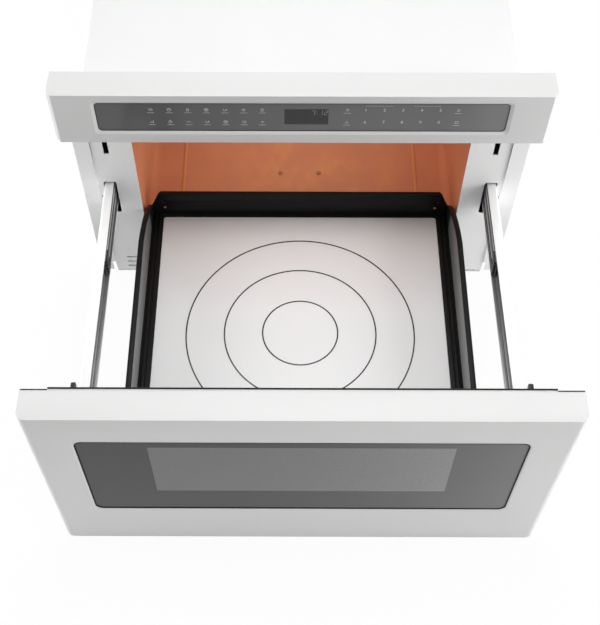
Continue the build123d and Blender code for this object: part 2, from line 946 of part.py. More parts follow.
def make_back_plate():
    z = (drawer_bottom + 1.5 * back_plate_margin, drawer_top - back_plate_margin)
    y = (skin_back, plate_back)
    plate = slab(both(back_plate_width / 2), y, z, back_plate_corner)
    plate -= block(both(window_width / 2), y, (window_bottom, window_top))
    slot_z = (latch_bottom - hook_slot_margin, latch_top + 2 * hook_slot_margin)
    hook_slot = block(around(latch_x, latch_thickness + hook_slot_margin), y, slot_z)
    plate -= hook_slot
    plate -= mirrored(hook_slot)
    for screw_z in arm_screw_z:
        hole = rod_y(arm_screw_x, y, screw_z, screw_radius)
        plate -= hole
        plate -= mirrored(hole)
    return plate


def make_side_arm():
    y = (plate_back, plate_back + arm_length)
    z = (arm_bottom, arm_top)
    arm = block((arm_web_x, arm_outer_x), y, z)
    arm += block((arm_inner_x, arm_outer_x), y, (arm_top - arm_sheet, arm_top))
    arm += block(((arm_inner_x + arm_outer_x) / 2, arm_outer_x), y, (arm_bottom, arm_bottom + arm_sheet))
    arm += block((arm_inner_x, arm_outer_x), (plate_back, plate_back + arm_sheet), z)
    for screw_z in arm_screw_z:
        arm -= rod_y(arm_screw_x, (plate_back, plate_back + arm_sheet), screw_z, screw_radius)
    return arm


tray_screw_x = 192.5
tray_screw_z = 126.0
tray_screw_head = 3.0
tray_screw_head_height = 1.2
tray_screw_shank = 1.5
tray_hole_z = 138.0
tray_hole_radius = 2.0


def make_drawer_screws():
    screws = []
    for z in arm_screw_z:
        screw = rod_y(arm_screw_x, (skin_back - arm_screw_head_height, skin_back), z, arm_screw_head)
        screw += rod_y(arm_screw_x, (skin_back, plate_back + arm_sheet), z, screw_radius)
        screws += pair(screw)
    head_y = (tray_back_y - tray_screw_head_height, tray_back_y)
    shank_y = (tray_back_y, tray_back_y + tray_back_thickness)
    tray_screw = rod_y(tray_screw_x, head_y, tray_screw_z, tray_screw_head)
    tray_screw += rod_y(tray_screw_x, shank_y, tray_screw_z, tray_screw_shank)
    return screws + pair(tray_screw)


# ---------------------------------------------------------------- latch

ear_sheet = 2.0
ear_depth = 15.0
ear_height = 16.0
hook_neck = 5.0
barb_start = 15.0
barb_slant = 2.0
barb_width = 5.0
head_length = 22.0
head_slant = 4.0


def make_latch_hook():
    y = latch_pivot_y
    z = latch_pivot_z
    under = z - hook_neck
    over = z + hook_neck
    tip = latch_tip_y
    barb_y = tip - barb_start + barb_slant
    outline = [
        (y, under),
        (tip - barb_start, under),
        (barb_y, latch_bottom),
        (barb_y + barb_width, latch_bottom),
        (tip, under + barb_slant),
        (tip, over - barb_slant),
        (tip - head_slant, latch_top),
        (tip - head_length + head_slant, latch_top),
        (tip - head_length, over),
        (y, over),
    ]
    x = around(latch_x, latch_thickness)
    hook = prism_x(outline, x) + rod_x(x, y, z, hook_neck)
    return hook - rod_x(x, y, z, latch_pin_radius + shaft_slip)


def make_latch_pivot():
    gap = latch_thickness / 2 + 2 * slip
    ears = []
    for side in (-1, 1):
        centre = latch_x + side * (gap + ear_sheet / 2)
        x = around(centre, ear_sheet)
        ear = block(x, (skin_back - ear_depth, skin_back), around(latch_pivot_z, ear_height))
        ears.append(ear - rod_x(x, latch_pivot_y, latch_pivot_z, latch_pin_radius))
    pin_x = around(latch_x, 2 * (gap + ear_sheet))
    return ears + [rod_x(pin_x, latch_pivot_y, latch_pivot_z, latch_pin_radius)]


# ---------------------------------------------------------------- tray


def rim_curve(drop):
    """The rim's upper line in (y, z), lowered by drop: a gentle rise, then a sweep down at the back."""
    start = (plate_back, rim_front_z - drop)
    crest = (rim_crest_y, rim_crest_z - drop)
    bend = (rim_bend_y, rim_bend_z - drop)
    end = (tray_back_y, rim_end_z - drop)
    return start, crest, bend, end


def curved_wall(x, upper_drop, lower_line):
    """A wall under the rim's line, over the span x; lower_line closes its outline."""
    start, crest, bend, end = rim_curve(upper_drop)
    edges = [Line(start, crest), ThreePointArc(crest, bend, end)]
    edges += lower_line(start, end)
    face = make_face(Plane.YZ * Wire(edges))
    return Pos(x[0], 0, 0) * extrude(face, length(x), dir=(1, 0, 0))


def make_tray_wall():
    def down_and_back(start, end):
        low_end = (end[0], tray_floor)
        low_start = (start[0], tray_floor)
        return [Line(end, low_end), Line(low_end, low_start), Line(low_start, start)]

    return curved_wall((wall_inner_x, half_tray), rim_thickness, down_and_back)


def make_tray_rim():
    def under_line(start, end):
        low_start, low_crest, low_bend, low_end = rim_curve(rim_thickness)
        return [Line(end, low_end), ThreePointArc(low_end, low_bend, low_crest),
                Line(low_crest, low_start), Line(low_start, start)]

    return curved_wall((half_tray - rim_width, half_tray), 0, under_line)


pad_inset = 40.0
pad_height = 2.0


def make_tray_base():
    pan = block(both(half_tray - tray_corner), (plate_back, tray_back_y), (tray_bottom, tray_floor))
    pad = shelf_size - 2 * pad_inset
    return pan + block(around(0, pad), around(shelf_middle_y, pad), (tray_floor, tray_floor + pad_height))


def make_glass_frame():
    ring = block(both(wall_inner_x), (plate_back, tray_back_y), (tray_floor, glass_top))
    half = shelf_size / 2
    pocket = around(shelf_middle_y, shelf_size + 2 * slip)
    ring -= block(both(half + slip), pocket, (shelf_bottom, glass_top))
    hole = half - shelf_ledge
    ring -= block(both(hole), around(shelf_middle_y, 2 * hole), (tray_floor, shelf_bottom))
    rib_y = (shelf_front, tray_back_y)
    step = (wall_inner_x - half) / 3
    for index in (1, 2):
        rib = rod_y(half + index * step, rib_y, glass_top, rib_radius)
        ring += rib
        ring += mirrored(rib)
    return ring


def make_glass_shelf():
    outline = RectangleRounded(shelf_size, shelf_size, shelf_corner)
    return Pos(0, shelf_middle_y, shelf_bottom) * extrude(outline, shelf_thickness)


def make_ring_marks():
    rings = []
    for radius in ring_radii:
        ring = Cylinder(radius + ring_line / 2, ring_height) - Cylinder(radius - ring_line / 2, ring_height)
        rings.append(Pos(0, shelf_middle_y, glass_top + ring_height / 2) * ring)
    return rings


back_shoulder_low = 7.0
back_shoulder_high = 18.0
back_shoulder_in = 7.0
back_top_in = 20.0
back_top_round = 4.0


def make_tray_back():
    right = [
        (half_tray - tray_corner, tray_bottom),
        (half_tray, tray_bottom + tray_corner + tray_sheet),
        (half_tray, glass_top + back_shoulder_low),
        (half_tray - back_shoulder_in, glass_top + back_shoulder_high),
        (half_tray - back_top_in + back_top_round, tray_back_top - back_top_round),
        (half_tray - back_top_in, tray_back_top),
    ]
    left = [(-x, z) for x, z in reversed(right)]
    y = (tray_back_y, tray_back_y + tray_back_thickness)
    wall = prism_y(right + left, y)
    hole = rod_y(tray_screw_x, y, tray_hole_z, tray_hole_radius)
    screw = rod_y(tray_screw_x, y, tray_screw_z, tray_screw_shank)
    for cut in (hole, screw):
        wall -= cut
        wall -= mirrored(cut)
    return wall


# ---------------------------------------------------------------- wave and air parts


port_margin = 10.0
shaft_hole_gap = 1.0
antenna_radius = 7.0
antenna_height = 22.0
antenna_hole_radius = 12.0


def make_waveguide():
    half = dome_size / 2
    y = around(stirrer_y, dome_size)
    dome = block(both(half), y, (cavity_top, duct_bottom))
    dome -= block(both(half - case_sheet), (y[0] + case_sheet, y[1] - case_sheet),
                  (cavity_top, duct_bottom - case_sheet))
    duct = block(around(0, duct_width), (duct_front, duct_back), (duct_bottom, duct_bottom + duct_height))
    duct -= block(around(0, duct_width - 2 * case_sheet), (duct_front + case_sheet, duct_back - case_sheet),
                  (duct_bottom + case_sheet, duct_bottom + duct_height - case_sheet))
    guide = dome + duct
    port_y = (duct_front + port_margin, y[1] - port_margin)
    port_z = (duct_bottom - case_sheet, duct_bottom + case_sheet)
    guide -= block(around(0, duct_width - 2 * port_margin), port_y, port_z)
    shaft_z = (duct_bottom - case_sheet, duct_bottom)
    guide -= rod_z(0, stirrer_y, shaft_z, stirrer_shaft_radius + shaft_hole_gap)
    return guide - rod_z(0, magnetron_y, (duct_bottom, duct_bottom + case_sheet), antenna_hole_radius)


def make_stirrer_cover():
    return block(around(0, stirrer_cover_size), around(stirrer_y, stirrer_cover_size),
                 (ceiling - stirrer_cover_thickness, ceiling))


stirrer_bore_depth = 6.0
motor_lug_width = 14.0
motor_lug_depth = 10.0
motor_lug_sheet = 1.5
motor_plug_reach = 6.0
motor_plug_height = 8.0
stirrer_hub_radius = 10.0
stirrer_hub_height = 6.0
stirrer_blades = 4
wide_blade = 34.0
narrow_blade = 26.0
shaft_end_gap = 0.5


def make_stirrer_motor():
    z = (duct_bottom, duct_bottom + stirrer_motor_height)
    body = rod_z(0, stirrer_y, z, stirrer_motor_radius)
    lug_x = around(stirrer_motor_radius + motor_lug_width / 4, motor_lug_width)
    lug = block(lug_x, around(stirrer_y, motor_lug_depth), (z[0], z[0] + motor_lug_sheet))
    body += lug
    body += mirrored(lug)
    plug_y = (stirrer_y - stirrer_motor_radius - motor_plug_reach, stirrer_y)
    body += block(around(0, motor_lug_depth), plug_y, around(middle(z), motor_plug_height))
    return body - rod_z(0, stirrer_y, (z[0], z[0] + stirrer_bore_depth), stirrer_shaft_radius + shaft_slip)


def make_stirrer_fan():
    hub_z = around(cavity_top + dome_height / 2 - blade_sheet, stirrer_hub_height)
    fan = rod_z(0, stirrer_y, hub_z, stirrer_hub_radius)
    shaft_top = duct_bottom + stirrer_bore_depth - shaft_end_gap
    fan += rod_z(0, stirrer_y, (hub_z[1], shaft_top), stirrer_shaft_radius)
    inner = stirrer_hub_radius / 2
    reach = stirrer_radius - inner
    for index in range(stirrer_blades):
        width = narrow_blade if index % 2 else wide_blade
        blade = Pos(inner + reach / 2, 0, 0) * Rot(blade_tilt, 0, 0) * Box(reach, width, blade_sheet)
        fan += Pos(0, stirrer_y, middle(hub_z)) * Rot(0, 0, 360 * index / stirrer_blades) * blade
    return fan


yoke_sheet = 2.0
anode_radius = 18.0
filter_box_size = 60.0
filter_box_height = 28.0
fin_sheet = 0.8
fin_margin = 10.0


def make_magnetron():
    half = magnetron_size / 2
    z = (duct_bottom - magnetron_height, duct_bottom)
    inside_z = (z[0] + yoke_sheet, z[1] - yoke_sheet)
    y = around(magnetron_y, magnetron_size)
    yoke = block(both(half), y, z) - block(both(half - yoke_sheet), y, inside_z)
    anode = rod_z(0, magnetron_y, inside_z, anode_radius)
    antenna = rod_z(0, magnetron_y, (z[1], z[1] + antenna_height), antenna_radius)
    filter_box = block(around(0, filter_box_size), around(magnetron_y, filter_box_size),
                       (z[0] - filter_box_height, z[0]))
    pieces = [yoke, anode, antenna, filter_box]
    spread = magnetron_height - 2 * fin_margin
    for index in range(magnetron_fins):
        fin_z = around(z[0] + fin_margin + index * spread / (magnetron_fins - 1), fin_sheet)
        fin = block(both(half - yoke_sheet), around(magnetron_y, magnetron_size - fin_margin), fin_z)
        pieces.append(fin - rod_z(0, magnetron_y, fin_z, anode_radius))
    return pieces


transformer_x = 150.0
transformer_y = 478.0
core_width = 100.0
core_depth = 60.0
core_height = 86.0
core_leg = 17.0
winding_overhang = 17.0


def make_hv_transformer():
    z = (case_sheet, case_sheet + core_height)
    y = around(transformer_y, core_depth)
    core = block(around(transformer_x, core_width), y, z)
    window_width_x = (core_width - 4 * core_leg) / 2
    window_z = (z[0] + core_leg, z[1] - core_leg)
    for side in (-1, 1):
        x = transformer_x + side * (core_leg + window_width_x / 2)
        core -= block(around(x, window_width_x), y, window_z)
    coil_x = around(transformer_x, 2 * (core_leg + window_width_x - slip))
    coil_y = around(transformer_y, core_depth + 2 * winding_overhang)
    coil_z = (window_z[0] + slip, window_z[1] - slip)
    coil = block(coil_x, coil_y, coil_z)
    return [core, coil - block(around(transformer_x, 2 * core_leg), y, coil_z)]


capacitor_x = -150.0
capacitor_y = 480.0
capacitor_width = 54.0
capacitor_depth = 35.0
capacitor_height = 96.0
terminal_spread = 28.0
terminal_height = 12.0
terminal_radius = 3.0


def make_hv_capacitor():
    outline = RectangleRounded(capacitor_width, capacitor_depth, capacitor_depth * 0.49)
    can = Pos(capacitor_x, capacitor_y, case_sheet) * extrude(outline, capacitor_height)
    top = case_sheet + capacitor_height
    for x in around(capacitor_x, terminal_spread):
        can += rod_z(x, capacitor_y, (top, top + terminal_height), terminal_radius)
    return can


filter_x = (70.0, 160.0)
filter_z = (250.0, 330.0)
filter_gap = 6.4
choke_radius = 14.0
choke_height = 16.0
filter_block_width = 24.0
filter_blocks = ((32.0, 12.0), (14.0, 9.0))


def make_filter_board():
    board_y = (back_inner - filter_gap - board_sheet, back_inner - filter_gap)
    pieces = [block(filter_x, board_y, filter_z)]
    for x in (filter_x[0] + standoff_inset, filter_x[1] - standoff_inset):
        for z in (filter_z[0] + standoff_inset, filter_z[1] - standoff_inset):
            pieces.append(rod_y(x, (board_y[1], back_inner), z, standoff_radius))
    face = board_y[0]
    choke_x = filter_x[0] + 2 * choke_radius
    pieces.append(rod_y(choke_x, (face - choke_height, face), middle(filter_z), choke_radius))
    block_x = (filter_x[1] - 1.5 * filter_block_width, filter_x[1] - filter_block_width / 2)
    start = filter_z[0] + choke_radius
    for height, rise in filter_blocks:
        pieces.append(block(block_x, (face - rise, face), (start, start + height)))
        start += height + standoff_inset
    return pieces


power_x = (-205.0, -70.0)
power_y = (130.0, 330.0)
power_rise = 10.0
relays = 4
relay_width = 20.0
relay_length = 26.0
relay_height = 18.0
relay_pitch = 40.0
supply_height = 32.0
supply_length = 45.0
sink_width = 40.0
sink_length = 70.0
sink_height = 26.0
sink_sheet = 1.6
sink_fins = 6


def make_power_board():
    top = case_sheet + power_rise + board_sheet
    pieces = [block(power_x, power_y, (top - board_sheet, top))]
    for x in (power_x[0] + standoff_inset, power_x[1] - standoff_inset):
        for y in (power_y[0] + standoff_inset, power_y[1] - standoff_inset):
            pieces.append(rod_z(x, y, (case_sheet, top - board_sheet), standoff_radius))
    relay_x = around(power_x[0] + 1.25 * relay_width, relay_width)
    for index in range(relays):
        relay_y = around(power_y[0] + (index + 1) * relay_pitch, relay_length)
        pieces.append(block(relay_x, relay_y, (top, top + relay_height)))
    wide_x = (power_x[1] - 1.5 * sink_width, power_x[1] - sink_width / 2)
    supply_start = power_y[0] + relay_length
    pieces.append(block(wide_x, (supply_start, supply_start + supply_length), (top, top + supply_height)))
    sink_start = supply_start + supply_length + relay_length
    sink_y = (sink_start, sink_start + sink_length)
    sink = block(wide_x, sink_y, (top, top + 2 * sink_sheet))
    for index in range(sink_fins):
        fin_x = wide_x[0] + sink_sheet + index * (sink_width - 2 * sink_sheet) / (sink_fins - 1)
        sink += block(around(fin_x, sink_sheet), sink_y, (top, top + sink_height))
    return pieces + [sink]


fan_front = back_inner - fan_depth
strut_width = 5.0
strut_sheet = 3.0
stator_length = 18.0
cup_gap = 3.0
cup_wall = 2.0
cup_start = fan_front + 2 * cup_gap
cup_end = fan_front + stator_length + cup_wall + 2 * cup_gap
blade_width = 20.0
blade_pitch = 35.0
fan_blade_sheet = 1.5


def make_fan_housing():
    y = (fan_front, back_inner)
    housing = block(around(fan_x, fan_size), y, around(fan_z, fan_size))
    housing -= rod_y(fan_x, y, fan_z, fan_bore)
    for angle in (45, 135):
        strut = Box(2 * fan_bore + cup_wall, strut_sheet, strut_width)
        housing += Pos(fan_x, fan_front + strut_sheet / 2, fan_z) * Rot(0, angle, 0) * strut
    stator_end = fan_front + stator_length
    housing += rod_y(fan_x, (fan_front, stator_end), fan_z, fan_hub_radius - cup_wall - 2 * shaft_end_gap)
    bore_y = (fan_front + strut_sheet, stator_end)
    return housing - rod_y(fan_x, bore_y, fan_z, fan_shaft_radius + shaft_slip)


def make_fan_wheel():
    wheel = rod_y(fan_x, (cup_start, cup_end), fan_z, fan_hub_radius)
    reach = fan_wheel_radius - fan_hub_radius
    blade_x = fan_hub_radius - cup_wall / 2 + reach / 2
    blade = Rot(blade_pitch, 0, 0) * Box(reach, blade_width, fan_blade_sheet)
    blade = Pos(blade_x, (cup_start + cup_end) / 2, 0) * blade
    for index in range(fan_blades):
        wheel += Pos(fan_x, 0, fan_z) * Rot(0, 360 * index / fan_blades, 0) * blade
    inside_y = (fan_front, cup_end - cup_wall)
    wheel -= rod_y(fan_x, inside_y, fan_z, fan_hub_radius - cup_wall)
    return wheel + rod_y(fan_x, (cup_start, cup_end), fan_z, fan_shaft_radius)


shield_size = 40.0
shield_depth = 48.0
socket_length = 17.0
socket_radius = 12.0
bulb_radius = 10.0
bulb_depth = 16.0
bulb_neck_radius = 6.0


def make_oven_lamp():
    start = cavity_depth + cavity_sheet
    inner_end = start + shield_depth - cavity_sheet
    inner_size = shield_size - 2 * cavity_sheet
    shield = block(around(lamp_x, shield_size), (start, start + shield_depth), around(lamp_z, shield_size))
    shield -= block(around(lamp_x, inner_size), (start, inner_end), around(lamp_z, inner_size))
    socket = rod_y(lamp_x, (inner_end - socket_length, inner_end), lamp_z, socket_radius)
    bulb = Pos(lamp_x, start + bulb_depth, lamp_z) * Sphere(bulb_radius)
    bulb += rod_y(lamp_x, (start + bulb_depth, inner_end - socket_length), lamp_z, bulb_neck_radius)
    return [shield, socket, bulb]


thermostat_x = 160.0
thermostat_y = 100.0
thermostat_radius = 9.0
thermostat_height = 6.0
thermostat_foot = 30.0
thermostat_lug = 8.0


def make_thermostat():
    top = cavity_top + thermostat_height
    disc = rod_z(thermostat_x, thermostat_y, (cavity_top, top), thermostat_radius)
    disc += block(around(thermostat_x, thermostat_foot), around(thermostat_y, thermostat_lug),
                  (cavity_top, cavity_top + tab_sheet))
    return disc + block(around(thermostat_x, tab_sheet), around(thermostat_y, thermostat_lug),
                        (top, top + thermostat_lug))


# ---------------------------------------------------------------- the whole drawer

save("front_frame", make_front_frame())
save("side_flanges", pair(make_side_flange()))
save("case_wrap", make_case_wrap())
save("case_base", make_case_base())
save("case_back", make_case_back())
save("cavity_shell", make_cavity_shell())
save("case_screws", make_case_screws())
save("cord_gland", make_cord_gland())

save("control_panel", make_control_panel())
save("control_glass", make_control_glass())
save("display_module", make_display_module())
save("control_board", make_control_board())

save("slide_fixed", pair(make_slide_fixed()))
save("slide_brackets", pair(make_slide_bracket()))
save("interlock_switches", pair(make_switch()))
save("switch_plungers", pair(make_plunger()))
save("drive_bracket", make_drive_bracket())
save("drive_motor", make_drive_motor())
save("drive_pinion", make_pinion())

mid_slide = make_slide_mid()
mid_forward = mid_share * drawer_travel
save("slide_mid_right", mid_slide, mid_forward)
save("slide_mid_left", mirrored(mid_slide), mid_forward)
outer_cage = make_cage(outer_cage_front_closed, fixed_back_x, fixed_tip_x, outer_ball_z)
inner_cage = make_cage(inner_cage_front_closed, mid_back_x, mid_tip_x, inner_ball_z)
save("cage_outer", both_sides(outer_cage), outer_cage_share * drawer_travel)
save("cage_inner", both_sides(inner_cage), inner_cage_share * drawer_travel)

save("waveguide", make_waveguide())
save("stirrer_cover", make_stirrer_cover())
save("stirrer_motor", make_stirrer_motor())
save("stirrer_fan", make_stirrer_fan())
save("magnetron", make_magnetron())
save("hv_transformer", make_hv_transformer())
save("hv_capacitor", make_hv_capacitor())
save("filter_board", make_filter_board())
save("power_board", make_power_board())
save("fan_housing", make_fan_housing())
save("fan_wheel", make_fan_wheel())
save("oven_lamp", make_oven_lamp())
save("thermostats", pair(make_thermostat()))

arm = make_side_arm()
inner_slide = make_slide_inner()
hook = make_latch_hook()
drawer_pieces = {
    "drawer_front": make_drawer_front(),
    "drawer_glass": make_drawer_glass(),
    "window_frame": make_window_frame(),
    "window_screen": make_window_screen(),
    "choke_frame": make_choke_frame(),
    "inner_window": make_inner_window(),
    "back_plate": make_back_plate(),
    "side_arm_right": arm,
    "side_arm_left": mirrored(arm),
    "slide_inner_right": inner_slide,
    "slide_inner_left": mirrored(inner_slide),
    "latch_hook_right": hook,
    "latch_hook_left": mirrored(hook),
    "latch_pivots": both_sides(make_latch_pivot()),
    "drawer_screws": make_drawer_screws(),
    "drive_rack": make_rack(),
    "tray_base": make_tray_base(),
    "tray_walls": pair(make_tray_wall()),
    "tray_rims": pair(make_tray_rim()),
    "tray_back": make_tray_back(),
    "glass_frame": make_glass_frame(),
    "glass_shelf": make_glass_shelf(),
    "ring_marks": make_ring_marks(),
}
for node, shape in drawer_pieces.items():
    save(node, shape, drawer_travel)
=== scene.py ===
"""The looks of a built-in microwave drawer, made round its fixed frame.

Lengths are in metres. X runs to the right seen from the front, Y into the cabinet, Z up.
"""

import math

import bpy
from bpy.props import FloatProperty, FloatVectorProperty, IntProperty
from mathutils import Matrix, Vector


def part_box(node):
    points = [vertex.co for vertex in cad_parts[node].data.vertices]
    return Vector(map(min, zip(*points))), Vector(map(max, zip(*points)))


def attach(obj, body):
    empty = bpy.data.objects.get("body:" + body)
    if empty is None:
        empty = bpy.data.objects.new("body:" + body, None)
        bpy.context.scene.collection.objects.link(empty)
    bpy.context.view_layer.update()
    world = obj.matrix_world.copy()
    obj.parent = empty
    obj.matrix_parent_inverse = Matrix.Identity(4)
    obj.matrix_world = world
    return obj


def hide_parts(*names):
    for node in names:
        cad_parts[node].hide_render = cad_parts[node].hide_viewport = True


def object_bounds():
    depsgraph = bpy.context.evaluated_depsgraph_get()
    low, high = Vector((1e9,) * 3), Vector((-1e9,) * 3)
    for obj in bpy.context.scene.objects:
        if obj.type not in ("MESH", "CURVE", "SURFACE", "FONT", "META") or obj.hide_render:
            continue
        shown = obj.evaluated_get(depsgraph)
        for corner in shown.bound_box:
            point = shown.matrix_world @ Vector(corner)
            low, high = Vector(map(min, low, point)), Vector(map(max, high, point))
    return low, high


bl_info = {
    "name": "Microwave drawer",
    "version": (1, 0, 0),
    "blender": (4, 5, 0),
    "location": "View3D > Sidebar > Drawer",
    "description": "Dresses the frame of a built-in microwave drawer",
    "category": "Object",
}

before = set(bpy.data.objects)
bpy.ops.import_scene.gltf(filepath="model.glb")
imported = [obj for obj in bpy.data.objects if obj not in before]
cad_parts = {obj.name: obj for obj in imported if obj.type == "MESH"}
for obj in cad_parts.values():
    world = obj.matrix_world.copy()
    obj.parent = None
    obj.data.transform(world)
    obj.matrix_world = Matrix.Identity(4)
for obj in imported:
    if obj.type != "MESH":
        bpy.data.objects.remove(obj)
cad_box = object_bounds()

MM = 0.001
AXES = {"x": Vector((1, 0, 0)), "y": Vector((0, 1, 0)), "z": Vector((0, 0, 1))}
TURN = {"x": (0, math.pi / 2, 0), "y": (math.pi / 2, 0, 0), "z": (0, 0, 0)}
SIDES = (1, -1)
NEAR = 0.01 * MM


# ---------------------------------------------------------------- settings


def length(name, words, value):
    """A length that a user can set, given in millimetres."""
    return FloatProperty(name=name, description=words, default=value * MM, unit="LENGTH", subtype="DISTANCE")


def share(name, words, value):
    """A plain number from 0 to 1."""
    return FloatProperty(name=name, description=words, default=value, min=0.0, max=1.0, subtype="FACTOR")


def angle(name, words, degrees):
    return FloatProperty(name=name, description=words, default=math.radians(degrees), subtype="ANGLE")


def number(name, words, value):
    return FloatProperty(name=name, description=words, default=value)


def colour(name, words, *parts):
    """A colour, given as red, green and blue or as one grey."""
    return FloatVectorProperty(name=name, description=words, default=parts if len(parts) == 3 else 3 * parts,
                               size=3, min=0.0, max=1.0, subtype="COLOR")


class CaseSettings(bpy.types.PropertyGroup):
    paint: colour("Frame paint", "White paint of the frame, the flanges and the arms", 0.885, 0.885, 0.882)
    outside: colour("Case paint", "Pale paint of the case behind the frame", 0.74)
    zinc: colour("Zinc", "Plated sheet of the brackets and the base", 0.50, 0.51, 0.53)
    edge: length("Edge radius", "Rounding of the sheet's cut edges", 0.3)
    fold: length("Fold radius", "Outer radius where the case's sheet is folded", 2.0)
    sheet: length("Case sheet", "Thickness of the case's sheet", 1.2)
    spangle: length("Spangle size", "Size of the crystals in the plating", 9.0)
    # Painted shadow: the black strip in the gap beside each flange.
    seam: length("Seam width", "Width of the gap beside the flanges at its top", 1.0)
    seam_length: length("Seam length", "How far the gap shows down from the flanges' top", 120.0)


class FrontSettings(bpy.types.PropertyGroup):
    paint: colour("Front paint", "Matte white paint of the panel and the drawer front", 0.705, 0.705, 0.702)
    # Painted shade: the panel's paint is a darker copy of the drawer front's.
    panel: share("Panel tone", "The panel's paint against the drawer front's", 0.93)
    grain: length("Paint grain", "Size of the paint's fine grain", 0.7)
    corner: length("Panel corner", "Width of the panel's cut upright corners", 5.5)
    drawer_corner: length("Drawer corner", "Radius of the drawer front's upright corners", 10.5)
    edge: length("Edge radius", "Rounding of the fronts' other edges", 0.72)
    wall: length("Front wall", "Thickness of the front's face", 3.0)
    side: length("Side wall", "Thickness of the front's sides", 2.0)
    panel_glass: length("Touch glass corner", "Radius of the touch glass's corners", 5.0)
    drawer_glass: length("Window corner", "Radius of the drawer glass's corners", 9.0)
    bevel: length("Window slope", "Width of the slope round the drawer's glass", 3.2)
    seal: length("Seal", "Thickness of the dark seal behind the drawer front's top", 1.5)


class ControlSettings(bpy.types.PropertyGroup):
    # Painted reflection: the touch glass's grey runs lighter from its left end to its right end.
    glass_left: colour("Glass, left", "Tint of the touch glass at its left end", 0.102, 0.102, 0.103)
    glass_right: colour("Glass, right", "Tint of the touch glass at its right end", 0.196)
    window: colour("Display window", "Tint over the display", 0.040, 0.040, 0.042)
    ink: colour("Key print", "Pale print of the keys", 0.62)
    lit: colour("Display digits", "The display's segments", 0.23, 0.24, 0.25)
    digit: length("Digit height", "Height of the printed digits", 4.8)
    icon: length("Icon size", "Width of the printed key signs", 6.0)
    stroke: length("Stroke", "Width of a printed stroke", 0.55)
    first: length("First key", "Place of the leftmost keys", -181.7)
    first_digit: length("First digit", "Place of the leftmost digits", 76.5)
    line: length("Key line", "Length of the line under each key sign", 8.0)
    line_drop: length("Key line drop", "From the sign's middle down to its line", 5.2)
    film: length("Print thickness", "How far the print stands on the glass", 0.06)
    pitch: length("Key pitch", "Distance from key to key", 22.35)


class WindowSettings(bpy.types.PropertyGroup):
    border: colour("Window border", "Dark printed border of the drawer's glass", 0.072)
    # Painted reflection: the border and the pane lighten towards their right ends.
    border_right_lit: colour("Window border, right", "The same at its right end", 0.190)
    pane: colour("Window", "Lighter see-through middle of the glass", 0.190, 0.190, 0.189)
    pane_right_lit: colour("Window, right", "The same at its right end", 0.345, 0.345, 0.343)
    film: colour("Inner window", "Clear sheet behind the screen", 0.10)
    screen: colour("Screen", "Perforated screen", 0.25)
    dot: length("Dot pitch", "Distance between the holes of the screen's print", 2.2)


class CavitySettings(bpy.types.PropertyGroup):
    enamel: colour("Enamel", "Copper-coloured enamel", 0.76, 0.345, 0.178)
    deep: colour("Enamel shade", "Darker parts of the enamel", 0.71, 0.325, 0.172)
    # Painted highlight: the colour of the lighter patches round the floor's middle and along the ribs.
    bright: colour("Enamel glow", "Lighter flakes in the enamel", 0.88, 0.43, 0.15)
    highlight_place: length("Patch place", "From the middle to the brightest patches", 30.0)
    highlight_reach: length("Patch reach", "How far the bright patches reach", 95.0)
    patch: length("Patch size", "Size of the soft patches in the enamel", 38.0)
    cover: colour("Wave cover", "Pale sheet under the stirrer", 0.55, 0.48, 0.38)
    rib: length("Rib width", "Width of the floor's pressed ribs", 4.0)
    rib_place: length("Rib place", "From the middle to each rib", 171.5)


class TraySettings(bpy.types.PropertyGroup):
    # Painted shade: the walls' grey darkens from the front to the back.
    wall_front: colour("Wall, front", "Grey of the tray's walls at the front", 0.33)
    wall_back: colour("Wall, back", "Grey of the tray's walls at the back", 0.10)
    corner: length("Black corner", "Length of the black corner piece at each wall's back", 26.0)
    black: colour("Black plastic", "Plastic of the rims, the frame and the back wall", 0.008)
    shelf: colour("Shelf", "White printed glass", 0.83)
    ring: colour("Ring print", "Dark print of the rings", 0.015, 0.015, 0.016)
    ring_width: length("Ring width", "Width of the printed rings' lines", 1.9)
    stud: length("Stud radius", "Radius of the copper-coloured studs in the back wall's tabs", 1.9)
    wall: length("Wall thickness", "Thickness of the tray's side walls", 5.0)
    rim: length("Rim width", "Width of the black rims", 7.0)
    rim_height: length("Rim height", "Height of the black rims", 5.0)
    rim_round: length("Rim rounding", "Rounding of the rims' long edges", 1.6)
    front_rise: length("Front height", "The rim's top above the shelf at the front", 58.0)
    crest_rise: length("Crest height", "The rim's top above the shelf at its highest", 70.0)
    crest: length("Crest place", "From the front plate to the rim's highest point", 302.0)
    bend_rise: length("Bend height", "The rim's top above the shelf part way down the sweep", 56.5)
    bend: length("Bend place", "From the front plate to that point of the sweep", 347.0)
    back_rise: length("Back height", "The rim's top above the shelf at the back wall", 20.0)
    steps: IntProperty(name="Rim steps", description="Pieces of the rim's curve", default=24, min=1)


class RailSettings(bpy.types.PropertyGroup):
    steel: colour("Slide steel", "Drawn steel of the slides", 0.36, 0.36, 0.37)
    runner: colour("Runner steel", "Duller steel of the members on the arms", 0.20, 0.20, 0.205)
    # Also the dark of the painted reflection bands on the middle slides.
    dark: colour("Grease", "Dark lines left by grease and the balls", 0.035, 0.035, 0.037)
    plastic: colour("Black plastic", "Cages, catches and hooks", 0.020, 0.020, 0.021)
    nylon: colour("Nylon", "Rack, pinion and plungers", 0.62, 0.59, 0.51)
    sheet: length("Arm sheet", "Thickness of the folded arms", 1.8)
    fold: length("Arm fold", "Outer radius of the arms' folds", 3.0)
    gauge: length("Slide sheet", "Thickness of the slides' rolled sheet", 1.3)
    track: length("Track pitch", "Distance between the rolled tracks of the middle slides", 7.2)
    stop: length("Stop length", "Length of the black stops on the slides", 16.0)


